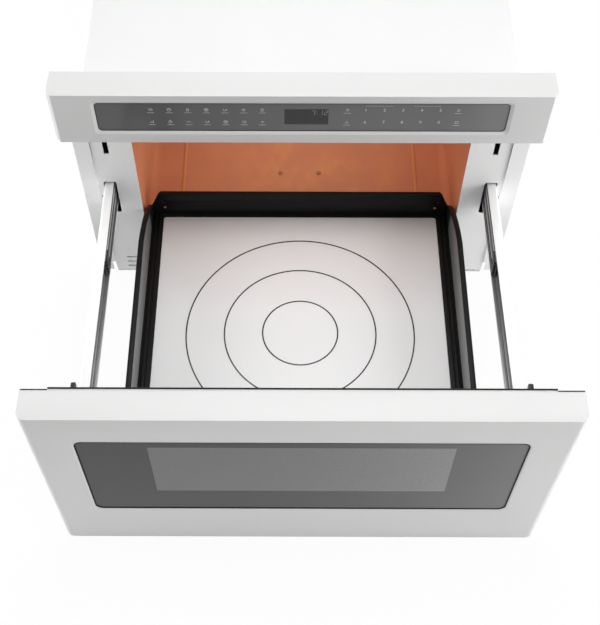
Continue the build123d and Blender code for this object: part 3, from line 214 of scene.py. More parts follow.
class InsideSettings(bpy.types.PropertyGroup):
    board: colour("Board", "Green circuit board", 0.03, 0.14, 0.06)
    core: colour("Core", "Varnished steel core", 0.16, 0.10, 0.07)
    plated: colour("Plated steel", "Motors, magnetron and small parts", 0.45, 0.45, 0.44)


class StageSettings(bpy.types.PropertyGroup):
    floor: colour("Floor", "Pale floor", 0.90)
    floor_drop: length("Floor drop", "The floor's distance under the part", 1.0)
    floor_size: length("Floor size", "Side of the floor", 14000.0)
    backdrop: share("Backdrop", "How much of its own white the floor shows to the eye", 0.93)
    sky: number("Sky", "Strength of the even light from all round", 0.235)
    overhead: number("Overhead lamp", "Power of the wide lamp over the part, in watts", 10.3)
    near: number("Near lamp", "Power of the small lamp close above the part, in watts", 7.3)
    left: number("Left lamp", "Power of the soft lamp on the left, in watts", 12.0)
    left_edge: number("Left edge lamp", "Power of the lamp that grazes the left side, in watts", 38.0)
    right: number("Right lamp", "Power of the soft lamp on the right, in watts", 38.0)
    right_edge: number("Right edge lamp", "Power of the lamp that grazes the right side, in watts", 14.0)
    front: number("Front lamp", "Power of the lamp in front on the right, in watts", 9.0)
    back: number("Back lamp", "Power of the soft lamp behind the part, in watts", 21.0)
    oven: number("Oven lamp", "Power of the light inside the cavity, in watts", 0.41)
    camera_x: length("Camera X", "Camera's place across", -13.5)
    camera_y: length("Camera Y", "Camera's place in front", -947.0)
    camera_z: length("Camera Z", "Camera's height", 1337.8)
    down: angle("Camera tilt", "How far the camera looks down", 56.62)
    turn: angle("Camera turn", "How far the camera is turned to the left", 0.22)
    lens: number("Lens", "Focal length in mm on a 36 mm sensor", 62.38)
    shift_x: number("Shift across", "The camera's sideways shift", 0.0195)
    shift_y: number("Shift up", "The camera's upward shift", -0.0104)


GROUPS = {
    "drawer_case": CaseSettings,
    "drawer_fronts": FrontSettings,
    "drawer_control": ControlSettings,
    "drawer_window": WindowSettings,
    "drawer_cavity": CavitySettings,
    "drawer_tray": TraySettings,
    "drawer_rails": RailSettings,
    "drawer_inside": InsideSettings,
    "drawer_stage": StageSettings,
}


# ---------------------------------------------------------------- finishes


def both_forms(operation):
    """An operator of signals, and its reflected form for a signal that stands on the right."""
    return (lambda self, other: self.maths(operation, self, other),
            lambda self, other: self.maths(operation, other, self))


class Signal:
    """A shader value that can be used in plain arithmetic."""

    def __init__(self, nodes, socket):
        self.nodes = nodes
        self.socket = socket

    def maths(self, operation, *values):
        """A Math node; its values may be numbers or signals."""
        return self.nodes.node("ShaderNodeMath", {"operation": operation}, dict(enumerate(values)))

    __add__, __radd__ = both_forms("ADD")
    __sub__, __rsub__ = both_forms("SUBTRACT")
    __mul__, __rmul__ = both_forms("MULTIPLY")
    __truediv__, __rtruediv__ = both_forms("DIVIDE")
    __pow__, __rpow__ = both_forms("POWER")
    __gt__, __lt__ = both_forms("GREATER_THAN")

    def size(self):
        """The value without its sign."""
        return self.maths("ABSOLUTE", self)

    def wave(self):
        return self.maths("SINE", self)

    def above(self, edge, soft):
        """0 below the edge, 1 above it, with a soft step between."""
        step = {"interpolation_type": "SMOOTHSTEP"}
        return self.nodes.node("ShaderNodeMapRange", step, {"Value": self, "From Min": edge - soft,
                                                           "From Max": edge + soft})

    def below(self, edge, soft):
        return 1 - self.above(edge, soft)


class Nodes:
    """A node tree while it is put together."""

    def __init__(self, tree):
        self.tree = tree

    def feed(self, socket, value):
        if isinstance(value, Signal):
            self.tree.links.new(value.socket, socket)
        elif socket.type == "RGBA":
            socket.default_value = (*value, 1.0)
        else:
            socket.default_value = value

    def node(self, kind, settings=None, inputs=None, output=0):
        """Adds one node: its settings first, then the values or links of its sockets."""
        node = self.tree.nodes.new(kind)
        for name, value in (settings or {}).items():
            setattr(node, name, value)
        for key, value in (inputs or {}).items():
            self.feed(node.inputs[key], value)
        return Signal(self, node.outputs[output])

    def seen(self):
        """1 for what the camera sees, straight or in a reflection, and 0 for light that falls on things."""
        camera, glossy, through = (self.node("ShaderNodeLightPath", output=name)
                                   for name in ("Is Camera Ray", "Is Glossy Ray", "Is Transmission Ray"))
        return (camera + glossy + through) > 0.5


class Finish(Nodes):
    """A material while its nodes are put together."""

    def __init__(self, name, **sockets):
        self.material = bpy.data.materials.new(name)
        self.material.use_nodes = True
        super().__init__(self.material.node_tree)
        self.shader = self.tree.nodes["Principled BSDF"]
        self.surface(**sockets)

    def surface(self, **sockets):
        """Sets or links the main shader's sockets, named with _ for a space."""
        for name, value in sockets.items():
            self.feed(self.shader.inputs[name.replace("_", " ")], value)

    def place(self):
        """The point on the piece, in the piece's own coordinates."""
        return self.node("ShaderNodeTexCoord", output="Object")

    def along(self, axis):
        """One coordinate of the point."""
        return self.node("ShaderNodeSeparateXYZ", inputs={0: self.place()}, output=axis.upper())

    def stretched(self, x, y, z):
        """The point with each coordinate multiplied, so that a pattern gets a direction."""
        scale = {"operation": "MULTIPLY"}
        return self.node("ShaderNodeVectorMath", scale, {0: self.place(), 1: (x, y, z)})

    def noise(self, grain, detail=2.0, rough=0.5, where=None):
        """Soft noise from 0 to 1, with spots of about this size."""
        inputs = {"Vector": where or self.place(), "Scale": 1 / grain, "Detail": detail, "Roughness": rough}
        return self.node("ShaderNodeTexNoise", None, inputs)

    def cells(self, grain, output="Distance", where=None):
        inputs = {"Vector": where or self.place(), "Scale": 1 / grain}
        return self.node("ShaderNodeTexVoronoi", None, inputs, output)

    def mix(self, factor, first, second):
        """The first colour where factor is 0, the second where it is 1."""
        return self.node("ShaderNodeMix", {"data_type": "RGBA"}, {0: factor, 6: first, 7: second}, 2)

    def varied(self, factor, paint, least, most):
        """A colour made darker or lighter by a signal."""
        return self.mix(factor, tone(paint, least), tone(paint, most))

    def relief(self, height, depth):
        """Bumps of this depth from a height signal. Gives back the finished material."""
        bump = {"Strength": 1.0, "Distance": depth, "Height": height}
        self.surface(Normal=self.node("ShaderNodeBump", None, bump))
        return self.material

    def complete(self, tint, roughness, height, depth):
        """Sets the colour, the roughness and the relief."""
        self.surface(Base_Color=tint, Roughness=roughness)
        return self.relief(height, depth)


def tone(paint, factor):
    """The colour, lighter or darker by a factor."""
    return tuple(min(1.0, part * factor) for part in paint)


def painted(name, paint, roughness, grain=0.7 * MM, depth=0.012 * MM):
    """Sprayed paint: fine orange peel, a faint unevenness of tone and of gloss."""
    finish = Finish(name)
    cloud = finish.noise(90 * MM, 3.0)
    peel = finish.noise(grain, 2.0)
    return finish.complete(finish.varied(cloud, paint, 0.975, 1.015),
                           cloud * 0.06 + peel * 0.05 + (roughness - 0.05), peel, depth)


def plated(name, metal, spangle, roughness=0.38):
    """Zinc-plated sheet: broad dull crystals with a faint rolling direction."""
    finish = Finish(name, Metallic=0.85)
    tint = finish.node("ShaderNodeSeparateColor", None, {0: finish.cells(spangle, "Color")})
    streak = finish.noise(1.2 * MM, 3.0, where=finish.stretched(1.0, 0.04, 1.0))
    return finish.complete(finish.varied(tint, metal, 0.85, 1.15),
                           tint * 0.16 + streak * 0.10 + (roughness - 0.12), streak, 0.010 * MM)


def drawn_steel(name, metal, dark, across=0.0, metallic=0.8, track=None):
    """Drawn steel: lines along Y, dark lines where grease lies, and, given a pitch, dark bands along the
    rolled tracks that are painted reflection.
    """
    finish = Finish(name, Metallic=metallic)
    lines = finish.noise(0.8 * MM, 4.0, 0.65, finish.stretched(1.0, 0.006, 1.0))
    wide = finish.noise(3.4 * MM, 1.0, 0.4, finish.stretched(1.0, 0.004, 1.0))
    smear = wide.above(0.53 - across, 0.05)
    # Painted reflection: dark bands at the track pitch.
    if track:
        tracks = (finish.along("z") * (2 * math.pi / track)).wave().above(0.25, 0.45)
        smear = smear.maths("MAXIMUM", smear * 0.6, tracks * 0.95)
    return finish.complete(finish.mix(smear, finish.varied(lines, metal, 0.6, 1.6), dark),
                           lines * 0.22 + smear * 0.18 + 0.20, lines, 0.02 * MM)


def screw_steel(name, grey=0.34, dark=0.05):
    """Turned steel of screws and pins."""
    return drawn_steel(name, (grey,) * 3, (dark,) * 3, -0.3)


def moulded(name, plastic, roughness=0.42, grain=0.45 * MM, depth=0.02 * MM, shine=0.3):
    """Moulded plastic: spark-eroded grain, and a little dust in its tone."""
    finish = Finish(name, Specular_IOR_Level=shine)
    grains = finish.cells(grain)
    dust = finish.noise(24 * MM, 4.0)
    return finish.complete(finish.varied(dust, plastic, 0.85, 1.3),
                           dust * 0.14 + grains * 0.10 + (roughness - 0.10), grains, depth)


def black(name, grey, *options, **more):
    """Moulded plastic or rubber of one dark grey."""
    return moulded(name, (grey,) * 3, *options, **more)


def nylon(name, plastic):
    finish = Finish(name, Subsurface_Weight=0.1, Subsurface_Radius=(0.002, 0.0015, 0.001))
    flow = finish.noise(16 * MM, 3.0, where=finish.stretched(1.0, 0.2, 1.0))
    return finish.complete(finish.varied(flow, plastic, 0.92, 1.06),
                           flow * 0.15 + 0.38, finish.noise(0.6 * MM), 0.01 * MM)


def board_finish(name, green):
    """A circuit board: green mask over copper tracks, pale pads."""
    finish = Finish(name)
    edge = finish.cells(5.0 * MM, where=finish.stretched(1.0, 1.0, 0.35)).above(0.32, 0.03)
    pads = finish.cells(4.0 * MM).below(0.12, 0.02)
    pad_metal = (0.52, 0.50, 0.44)
    finish.surface(Base_Color=finish.mix(pads, finish.varied(edge, green, 0.75, 1.45), pad_metal),
                   Roughness=0.45 - pads * 0.15, Metallic=pads * 0.6)
    return finish.relief(edge + pads, 0.03 * MM)


def print_finish(name, ink, glow=0.0):
    """Screen print: a dense film with a slightly uneven cover."""
    finish = Finish(name, Emission_Strength=glow, Emission_Color=ink)
    cover = finish.noise(1.0 * MM, 3.0)
    finish.surface(Base_Color=finish.varied(cover, ink, 0.88, 1.08), Roughness=cover * 0.1 + 0.35)
    return finish.material


def wear(material, *nodes):
    """Gives nodes of the frame their finish."""
    for node in nodes:
        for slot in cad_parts[node].material_slots:
            slot.material = material


# ---------------------------------------------------------------- shaping


def activate(piece):
    bpy.ops.object.select_all(action="DESELECT")
    piece.select_set(True)
    bpy.context.view_layer.objects.active = piece


def added(operator, **options):
    """The object that an operator adds."""
    bpy.ops.object.select_all(action="DESELECT")
    operator(**options)
    return bpy.context.object


def settle(piece):
    """Puts a piece's place, turn and scale into its mesh."""
    activate(piece)
    bpy.ops.object.transform_apply(location=True, rotation=True, scale=True)
    return piece


def named(name, piece):
    """Names a new object and settles it."""
    piece.name = name
    piece.data.name = name
    return settle(piece)


def block(name, low, high):
    """A block between two corners."""
    low, high = Vector(low), Vector(high)
    return named(name, added(bpy.ops.mesh.primitive_cube_add, size=1, location=(low + high) / 2,
                             scale=high - low))


def side_block(name, side, x, y, z):
    """A block from its spans along X, Y and Z, on the right (side 1) or the left (side -1)."""
    near, far = sorted(side * place for place in x)
    return block(name, (near, y[0], z[0]), (far, y[1], z[1]))


def rod(name, centre, axis, radius, size, vertices=32):
    """A round bar along an axis, round its centre."""
    return named(name, added(bpy.ops.mesh.primitive_cylinder_add, vertices=vertices, radius=radius,
                             depth=size, location=centre, rotation=TURN[axis]))


def middle(mesh, part):
    """The middle of a vertex, an edge or a face."""
    if hasattr(part, "co"):
        return part.co
    points = [mesh.vertices[index].co for index in part.vertices]
    return sum(points, Vector()) / len(points)


def work(piece, kind, chosen, operator, **options):
    """Picks vertices, edges or faces by a test in edit mode, and runs one operator on them."""
    activate(piece)
    bpy.ops.object.mode_set(mode="EDIT")
    bpy.ops.mesh.select_mode(type=kind)
    bpy.ops.mesh.select_all(action="DESELECT")
    bpy.ops.object.mode_set(mode="OBJECT")
    mesh = piece.data
    for part in {"VERT": mesh.vertices, "EDGE": mesh.edges, "FACE": mesh.polygons}[kind]:
        part.select = bool(chosen(mesh, part))
    bpy.ops.object.mode_set(mode="EDIT")
    operator(**options)
    bpy.ops.object.mode_set(mode="OBJECT")
    return piece


def edges_along(axis, also=None):
    """A test for edges that run along an axis, and whose middle passes a second test."""
    def chosen(mesh, edge):
        first, second = (mesh.vertices[index].co for index in edge.vertices)
        run = (second - first).normalized()
        return abs(run.dot(AXES[axis])) > 0.999 and (also is None or also((first + second) / 2))

    return chosen


def at(test):
    """A test on the middle of a vertex, an edge or a face."""
    return lambda mesh, part: test(middle(mesh, part))


def facing(direction):
    """A test for faces that look a given way."""
    return lambda mesh, face: face.normal.dot(Vector(direction)) > 0.99


def right_way_out(piece):
    """Makes all faces look outwards."""
    return work(piece, "FACE", lambda mesh, part: True, bpy.ops.mesh.normals_make_consistent, inside=False)


def round_edges(piece, chosen, radius, segments):
    """Rounds the chosen edges."""
    return work(piece, "EDGE", chosen, bpy.ops.mesh.bevel, offset=radius, segments=segments, affect="EDGES")


def move(piece, chosen, shift):
    """Moves the chosen vertices."""
    return work(piece, "VERT", chosen, bpy.ops.transform.translate, value=shift)


def rounded_slab(name, low, high, axis, radius, segments=8):
    """A block whose edges along one axis are round."""
    return round_edges(block(name, low, high), edges_along(axis), radius, segments)


def apply(piece, kind, **settings):
    """Adds one modifier and applies it."""
    activate(piece)
    modifier = piece.modifiers.new(kind.title(), kind)
    for name, value in settings.items():
        setattr(modifier, name, value)
    bpy.ops.object.modifier_apply(modifier=modifier.name)
    return piece


def carve(piece, *cutters):
    """Cuts pieces out of a piece."""
    for cutter in cutters:
        apply(piece, "BOOLEAN", operation="DIFFERENCE", solver="EXACT", object=cutter)
        bpy.data.objects.remove(cutter, do_unlink=True)
    return piece


def shade(piece, degrees=40):
    """Shades a piece smoothly, except over edges sharper than an angle."""
    activate(piece)
    bpy.ops.object.shade_smooth_by_angle(angle=math.radians(degrees))
    return piece


def soften(piece, radius, segments=2, limit=35, smooth=40):
    """Rounds every sharp edge a little and shades the rest smoothly."""
    apply(piece, "BEVEL", width=radius, segments=segments, limit_method="ANGLE",
          angle_limit=math.radians(limit), use_clamp_overlap=False, miter_outer="MITER_ARC")
    return shade(piece, smooth)


def joined(name, pieces):
    """Several pieces as one."""
    activate(pieces[0])
    for piece in pieces:
        piece.select_set(True)
    bpy.ops.object.join()
    pieces[0].name = name
    pieces[0].data.name = name
    return pieces[0]


def copy_of(piece, name):
    """A second piece with a mesh of its own."""
    twin = piece.copy()
    twin.data = piece.data.copy()
    twin.name = name
    twin.data.name = name
    bpy.context.scene.collection.objects.link(twin)
    return twin


def left_twin(piece, name):
    """The left-hand copy of a right-hand piece."""
    twin = copy_of(piece, name)
    twin.scale.x = -1
    return right_way_out(settle(twin))


def folded_sheet(name, outline, span, sheet, fold, segments=5):
    """Sheet metal folded along Y through (x, z) points. Its thickness lies on the left of the line."""
    points = [Vector((x, 0, z)) for x, z in outline]
    first = points[1] - points[0]
    normal = first.normalized().cross(AXES["y"])
    turn = Matrix((first.normalized(), AXES["y"], normal)).transposed().to_euler()
    centre = (points[0] + points[1]) / 2 + AXES["y"] * sum(span) / 2
    strip = added(bpy.ops.mesh.primitive_plane_add, size=1, location=centre, rotation=turn)
    strip.scale = (first.length, span[1] - span[0], 1)
    piece = named(name, strip)
    for here, there in zip(points[1:], points[2:]):
        work(piece, "EDGE", near_line(here), bpy.ops.mesh.extrude_region_move,
             TRANSFORM_OT_translate={"value": there - here})
    for bend in points[1:-1]:
        round_edges(piece, near_line(bend), fold, segments)
    return apply(piece, "SOLIDIFY", thickness=sheet, offset=1.0)


def near_line(point):
    """A test for edges along Y through a point of an outline."""
    return edges_along("y", lambda centre: math.hypot(centre.x - point.x, centre.z - point.z) < 0.05 * MM)


def softened_copy(node, name, radius, segments=2):
    """A copy of a frame node with its cut edges rounded."""
    piece = copy_of(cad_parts[node], name)
    piece.parent = None
    piece.matrix_world = Matrix.Identity(4)
    activate(piece)
    bpy.ops.object.mode_set(mode="EDIT")
    bpy.ops.mesh.select_all(action="SELECT")
    bpy.ops.mesh.remove_doubles(threshold=0.002 * MM)
    bpy.ops.mesh.customdata_custom_splitnormals_clear()
    bpy.ops.mesh.dissolve_limited(angle_limit=math.radians(0.5))
    bpy.ops.object.mode_set(mode="OBJECT")
    return soften(piece, radius, segments)


def fit(piece, body, slot, material, *nodes):
    """Hangs a finished piece on its body, in the place of the nodes that it stands for."""
    piece.data.materials.clear()
    piece.data.materials.append(material)
    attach(piece, body)
    if nodes:
        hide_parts(*nodes)


def screw_head(centre, axis, radius, height, sign):
    """A domed screw head with a cross slot, looking along an axis by its sign."""
    head = rod("head", centre, axis, radius, height)
    outward = AXES[axis] * sign
    outer_edges = at(lambda place: (place - Vector(centre)).dot(outward) > height * 0.45)
    round_edges(head, outer_edges, height * 0.4, 3)
    top = Vector(centre) + outward * (height / 2)
    width, reach, depth = radius * 0.11, radius * 0.55, height * 0.45
    for direction in sorted(set(AXES) - {axis}):
        size = (Vector((1, 1, 1)) - AXES[axis]) * width + AXES[direction] * reach + AXES[axis] * depth
        carve(head, block("slot", top - size, top + size))
    return shade(head)


# ---------------------------------------------------------------- case


class DRAWER_OT_case(bpy.types.Operator):
    """Finishes the frame plate, its flanges and the case behind them"""

    bl_idname = "drawer.case"
    bl_label = "Case"

    def execute(self, context):
        look = context.scene.drawer_case
        paint = painted("frame_paint", look.paint, 0.42)
        outside = painted("case_paint", look.outside, 0.5)
        wear(paint, "front_frame", "side_flanges")
        wear(outside, "case_back")
        wear(plated("case_zinc", look.zinc, look.spangle), "case_base")
        self.seams(look)
        self.corners(paint)
        low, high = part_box("case_wrap")
        corners = [(high.x, low.z), (high.x, high.z), (low.x, high.z), (low.x, low.z)]
        wrap = folded_sheet("case_cover", corners, (low.y, high.y), look.sheet, look.fold)
        fit(soften(wrap, look.edge), "case", "case_paint", outside, "case_wrap")
        self.screws()
        inlet = softened_copy("cord_gland", "cord_inlet", 0.6 * MM, 3)
        fit(inlet, "case", "black_plastic", black("gland_plastic", 0.015, 0.5), "cord_gland")
        return {"FINISHED"}

    def seams(self, look):
        """A black strip in the gap between the frame plate and each flange, widest at the top: painted
        shadow.
        """
        low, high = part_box("side_flanges")
        seam_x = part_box("front_frame")[1].x
        proud, depth = 0.05 * MM, 1.4 * MM
        gaps = []
        for side in SIDES:
            gap = side_block("gap", side, (seam_x - look.seam / 2, seam_x + look.seam / 2),
                             (low.y - proud, high.y - depth), (high.z - look.seam_length, high.z))
            gaps.append(work(gap, "VERT", at(lambda place: place.z < high.z - look.seam_length / 2),
                             bpy.ops.mesh.merge, type="CENTER"))
        fit(joined("frame_seams", gaps), "case", "black_plastic", black("seam_shadow", 0.03, 0.7))

    def corners(self, paint):
        """The white sheet behind the frame plate's cut lower corners."""
        low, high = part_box("front_frame")
        size, inset, base = 14.0 * MM, 0.6 * MM, 1.0 * MM
        sheets = [side_block("sheet", side, (high.x - size, high.x - inset), (-0.9 * MM, -0.1 * MM),
                             (base, low.z + size)) for side in SIDES]
        fit(soften(joined("frame_corners", sheets), 0.1 * MM), "case", "white_enamel", paint)

    def screws(self):
        """Finishes the case's screws and puts domed heads over the plain ones of the back panel."""
        steel = screw_steel("screw_steel")
        wear(steel, "case_screws")
        low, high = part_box("case_back")
        inset, lowest, proud = 8.0 * MM, 7.5 * MM, 1.3 * MM
        heads = [screw_head((x, high.y + proud, z), "y", 4.6 * MM, 2 * proud, 1)
                 for x in (low.x + inset, 0.0, high.x - inset) for z in (lowest, high.z - inset)]
        fit(joined("back_screw_heads", heads), "case", "screw_steel", steel)


# ---------------------------------------------------------------- cavity


class DRAWER_OT_cavity(bpy.types.Operator):
    """Finishes the copper-coloured cavity and the parts that close it"""

    bl_idname = "drawer.cavity"
    bl_label = "Cavity"

    def execute(self, context):
        look = context.scene.drawer_cavity
        low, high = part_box("cavity_shell")
        floor = low.z + 10.0 * MM
        wear(self.enamel("cavity_enamel", look), "cavity_shell")
        # Painted highlight: the ribs take the enamel with half of the highlight colour mixed in everywhere.
        fit(self.ribs(look, floor, low.y, high.y), "case", "copper_enamel",
            self.enamel("rib_enamel", look, 0.5))
        fit(self.heads(floor), "case", "copper_enamel", self.enamel("head_enamel", look, 0.0, 0.6))
        wear(moulded("wave_cover", look.cover, 0.6, 3.0 * MM, 0.03 * MM), "stirrer_cover")
        wear(plated("lamp_shield", (0.5, 0.5, 0.5), 6.0 * MM), "oven_lamp")
        return {"FINISHED"}

    def enamel(self, name, look, least=0.0, factor=1.0):
        """Copper-coloured enamel with soft random tone patches, and painted highlights in patches round the
        middle of the floor.
        """
        finish = Finish(name, Coat_Weight=0.05, Coat_Roughness=0.2, Metallic=0.35, Specular_IOR_Level=0.3)
        patches = finish.noise(look.patch, 2.5, 0.5, finish.stretched(1.0, 0.7, 1.0))
        flakes = finish.noise(0.5 * MM, 2.0)
        base = finish.mix(patches.above(0.5, 0.2), tone(look.deep, factor), tone(look.enamel, factor))
        # Painted highlight: glow mixes the highlight colour into the patches near the middle, plus the share
        # least everywhere.
        highlight_zone = (finish.along("x") - look.highlight_place).size().below(look.highlight_reach, 0.06)
        glow = patches.above(0.60, 0.14) * highlight_zone * 0.48 + least
        return finish.complete(finish.mix(glow, base, tone(look.bright, factor)),
                               flakes * 0.12 + 0.32, flakes, 0.02 * MM)

    def heads(self, floor):
        """Low domed heads over the two screws in the cavity's floor."""
        place_x, place_y, radius, height = 28.5 * MM, 108.5 * MM, 3.5 * MM, 1.2 * MM
        heads = [rod("head", (side * place_x, place_y, floor + height / 2), "z", radius, height, 24)
                 for side in SIDES]
        return joined("floor_heads", [soften(head, 0.5 * MM, 3) for head in heads])

    def ribs(self, look, floor, front, back):
        """Two pressed ribs along the cavity's floor."""
        half = look.rib / 2
        spans = (look.rib_place - half, look.rib_place + half), (front + 14.0 * MM, back - 16.0 * MM)
        return joined("floor_ribs", [
            soften(side_block("rib", side, *spans, (floor - 0.5 * MM, floor + 0.9 * MM)), 0.8 * MM, 3)
            for side in SIDES])


# ---------------------------------------------------------------- fronts


def flared_cutter(low, high, radius, side, below, above, lead=2.0 * MM):
    """A cutter for a recess: narrow at its back, wider in front by its side, below and above amounts."""
    cutter = rounded_slab("recess", low, high, "y", radius)
    front = low[1] + NEAR
    centre_z = (low[2] + high[2]) / 2
    for shift, test in (((side, 0, 0), lambda place: place.x > 0), ((-side, 0, 0), lambda place: place.x < 0),
                        ((0, 0, above), lambda place: place.z > centre_z),
                        ((0, 0, -below), lambda place: place.z < centre_z)):
        move(cutter, at(lambda place: place.y < front and test(place)), shift)
    return work(cutter, "FACE", facing((0, -1, 0)), bpy.ops.mesh.extrude_region_move,
                TRANSFORM_OT_translate={"value": (0, -lead, 0)})


def shadow_ring(name, node, body, radius, width=0.9 * MM, height=0.5 * MM):
    """A thin black ring round a glass, just proud of its face: painted shadow of the gap round the glass."""
    low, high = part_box(node)
    reach = Vector((width, 0, width))
    front = low.y - height
    ring_piece = rounded_slab(name, Vector((low.x, front, low.z)) - reach,
                              Vector((high.x, low.y + MM, high.z)) + reach, "y", radius + width)
    hole = rounded_slab("hole", (low.x, front - MM, low.z), (high.x, high.y, high.z), "y", radius)
    fit(carve(ring_piece, hole), body, "black_plastic", black(name + "_rubber", 0.010, 0.6, shine=0.1))


def front_corners(piece, radius, segments):
    """Rounds or cuts the upright corners at a piece's front."""
    ends = sorted(corner[1] for corner in piece.bound_box)
    depth_middle = (ends[0] + ends[-1]) / 2
    return round_edges(piece, edges_along("z", lambda place: place.y < depth_middle), radius, segments)


def glass_pocket(node, glass, radius, side, below, above):
    """Cutters for the flared recess in front of a glass and for the glass's own pocket."""
    low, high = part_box(glass)
    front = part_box(node)[0].y
    return (flared_cutter((low.x, front, low.z), (high.x, low.y, high.z), radius, side, below, above),
            rounded_slab("pocket", low - AXES["y"] * MM, high, "y", radius))


def back_opening(low, high, lip, lip_height, depth):
    """A cutter for the opening in a front's back, inside a lip."""
    return block("back", (low.x + lip, high.y - depth, low.z + lip_height),
                 (high.x - lip, high.y + MM, high.z - lip_height))


class DRAWER_OT_fronts(bpy.types.Operator):
    """Models the control panel's housing and the drawer's front"""

    bl_idname = "drawer.fronts"
    bl_label = "Fronts"

    def execute(self, context):
        look = context.scene.drawer_fronts
        # Painted shade: the panel gets the front paint darkened by the panel tone.
        paint, shaded_panel_paint = (painted(name, tone(look.paint, factor), 0.46, look.grain, 0.010 * MM)
                              for name, factor in (("front_paint", 1.0), ("shaded_panel_paint", look.panel)))
        self.panel(look, shaded_panel_paint)
        self.drawer(look, paint)
        wear(black("back_plate_enamel", 0.02, 0.3), "back_plate")
        wear(plated("choke_zinc", (0.5, 0.5, 0.52), 8.0 * MM), "choke_frame")
        return {"FINISHED"}

    def panel(self, look, paint):
        """The housing: a hollow shell with a flared recess round the touch glass."""
        low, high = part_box("control_panel")
        shell = front_corners(block("panel_housing", low, high), look.corner, 1)
        glass_low, glass_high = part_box("control_glass")
        radius, wall = look.panel_glass, look.wall
        side, below, above = 4.8 * MM, 4.2 * MM, 5.0 * MM
        ledge, back_wall, gap = 8.0 * MM, 5.0 * MM, 1.5 * MM
        lip, lip_height = 44.2 * MM, 15.0 * MM
        carve(shell, *glass_pocket("control_panel", "control_glass", radius, side, below, above),
              block("opening", (glass_low.x + ledge, glass_low.y, glass_low.z + ledge / 2),
                    (glass_high.x - ledge, high.y - back_wall, glass_high.z - ledge / 2)),
              block("hollow", (low.x + wall, glass_high.y + gap, low.z + wall),
                    (high.x - wall, high.y - wall, high.z - wall)),
              back_opening(low, high, lip, lip_height, back_wall))
        fit(soften(shell, look.edge, 3, smooth=18), "case", "white_matte", paint, "control_panel")
        # Painted shadow: a black ring in the gap round the touch glass.
        shadow_ring("touch_shadow_ring", "control_glass", "case", radius)

    def drawer(self, look, paint):
        """The drawer's skin: a hollow shell with a shallow flared recess round the window glass."""
        low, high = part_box("drawer_front")
        shell = front_corners(block("drawer_skin", low, high), look.drawer_corner, 12)
        radius, side, slope = look.drawer_glass, look.side, look.bevel
        lip, lip_height, back_wall = 37.0 * MM, 13.0 * MM, 4.0 * MM
        hollow = block("hollow", (low.x + side, low.y + look.wall, low.z + side),
                       (high.x - side, high.y - side, high.z - side))
        front_corners(hollow, look.drawer_corner - look.wall, 8)
        carve(shell, *glass_pocket("drawer_front", "drawer_glass", radius, slope, slope, slope), hollow,
              back_opening(low, high, lip, lip_height, back_wall))
        fit(soften(shell, look.edge, 3, smooth=18), "drawer", "white_matte", paint, "drawer_front")
        # Painted shadow: a black ring in the gap round the window glass.
        shadow_ring("window_shadow_ring", "drawer_glass", "drawer", radius, 1.3 * MM, 0.8 * MM)
        self.hem(paint, high.z - 0.3 * MM, look.seal)

    def hem(self, paint, crest, seal):
        """The white hem over the back plate, and the dark seal along the edges behind the front."""
        low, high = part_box("back_plate")
        side_x = high.x + 1.0 * MM
        outer_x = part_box("drawer_front")[1].x - 1.2 * MM
        side_seal, top_rise, side_rise, drop = 0.8 * MM, 1.3 * MM, 1.1 * MM, 4.0 * MM
        hem = block("hem", (-side_x, low.y, high.z), (side_x, high.y - seal, crest))
        fit(soften(hem, 0.2 * MM), "drawer", "white_matte", paint)
        strips = [block("top", (-side_x, high.y - seal, high.z), (side_x, high.y, crest + top_rise))]
        strips += [side_block("side", side, (side_x, outer_x), (low.y, low.y + side_seal),
                              (low.z - drop, crest + side_rise)) for side in SIDES]
        rubber = black("seal_rubber", 0.012, 0.6, shine=0.2)
        fit(soften(joined("edge_seal", strips), 0.15 * MM), "drawer", "black_plastic", rubber)


# ---------------------------------------------------------------- touch glass


# Signs in a square from -1 to 1. Three numbers are a ring (x, z, radius), more are a line through
# (x, z) points.
ICONS = {
    "clock": ((0, 0, 0.8), (0, 0, 0, 0.5), (0, 0, 0.35, 0)),
    "timer": ((0, -0.15, 0.65), (0, 0.5, 0, 0.9), (-0.25, 0.9, 0.25, 0.9), (0, -0.15, 0.3, 0.15)),
    "plate": ((0, 0, 0.8), (0, 0, 0.4)),
    "cup": ((-0.6, 0.6, -0.5, -0.6, 0.3, -0.6, 0.4, 0.6), (0.6, 0.05, 0.3)),
    "heat": ((-0.6, -0.7, -0.4, 0, -0.6, 0.7), (0, -0.7, 0.2, 0, 0, 0.7), (0.6, -0.7, 0.8, 0, 0.6, 0.7)),
    "frost": ((-0.8, 0, 0.8, 0), (-0.4, -0.7, 0.4, 0.7), (-0.4, 0.7, 0.4, -0.7)),
    "lock": ((-0.5, -0.7, 0.5, -0.7, 0.5, 0.1, -0.5, 0.1, -0.5, -0.7), (0, 0.3, 0.35)),
    "open": ((-0.6, 0.1, 0, -0.5, 0.6, 0.1), (-0.6, 0.6, 0.6, 0.6)),
    "close": ((-0.6, -0.1, 0, 0.5, 0.6, -0.1), (-0.6, -0.6, 0.6, -0.6)),
    "more": ((-0.7, 0, 0.7, 0), (0, -0.7, 0, 0.7)),
    "start": ((-0.4, -0.7, -0.4, 0.7, 0.7, 0, -0.4, -0.7),),
    "stop": ((-0.6, -0.6, 0.6, -0.6, 0.6, 0.6, -0.6, 0.6, -0.6, -0.6),),
    "level": ((-0.6, -0.7, -0.6, -0.2), (0, -0.7, 0, 0.2), (0.6, -0.7, 0.6, 0.7)),
    "wave": ((-0.8, 0.3, -0.3, -0.3, 0.3, 0.3, 0.8, -0.3),),
}
KEY_SIGNS = (("heat", "level"), ("clock", "timer"), ("lock", "wave"), ("plate", "cup"), ("cup", "plate"),
             ("frost", "heat"), ("timer", "more"))
SEGMENTS = {"1": "bc", "2": "abged", "7": "abc"}
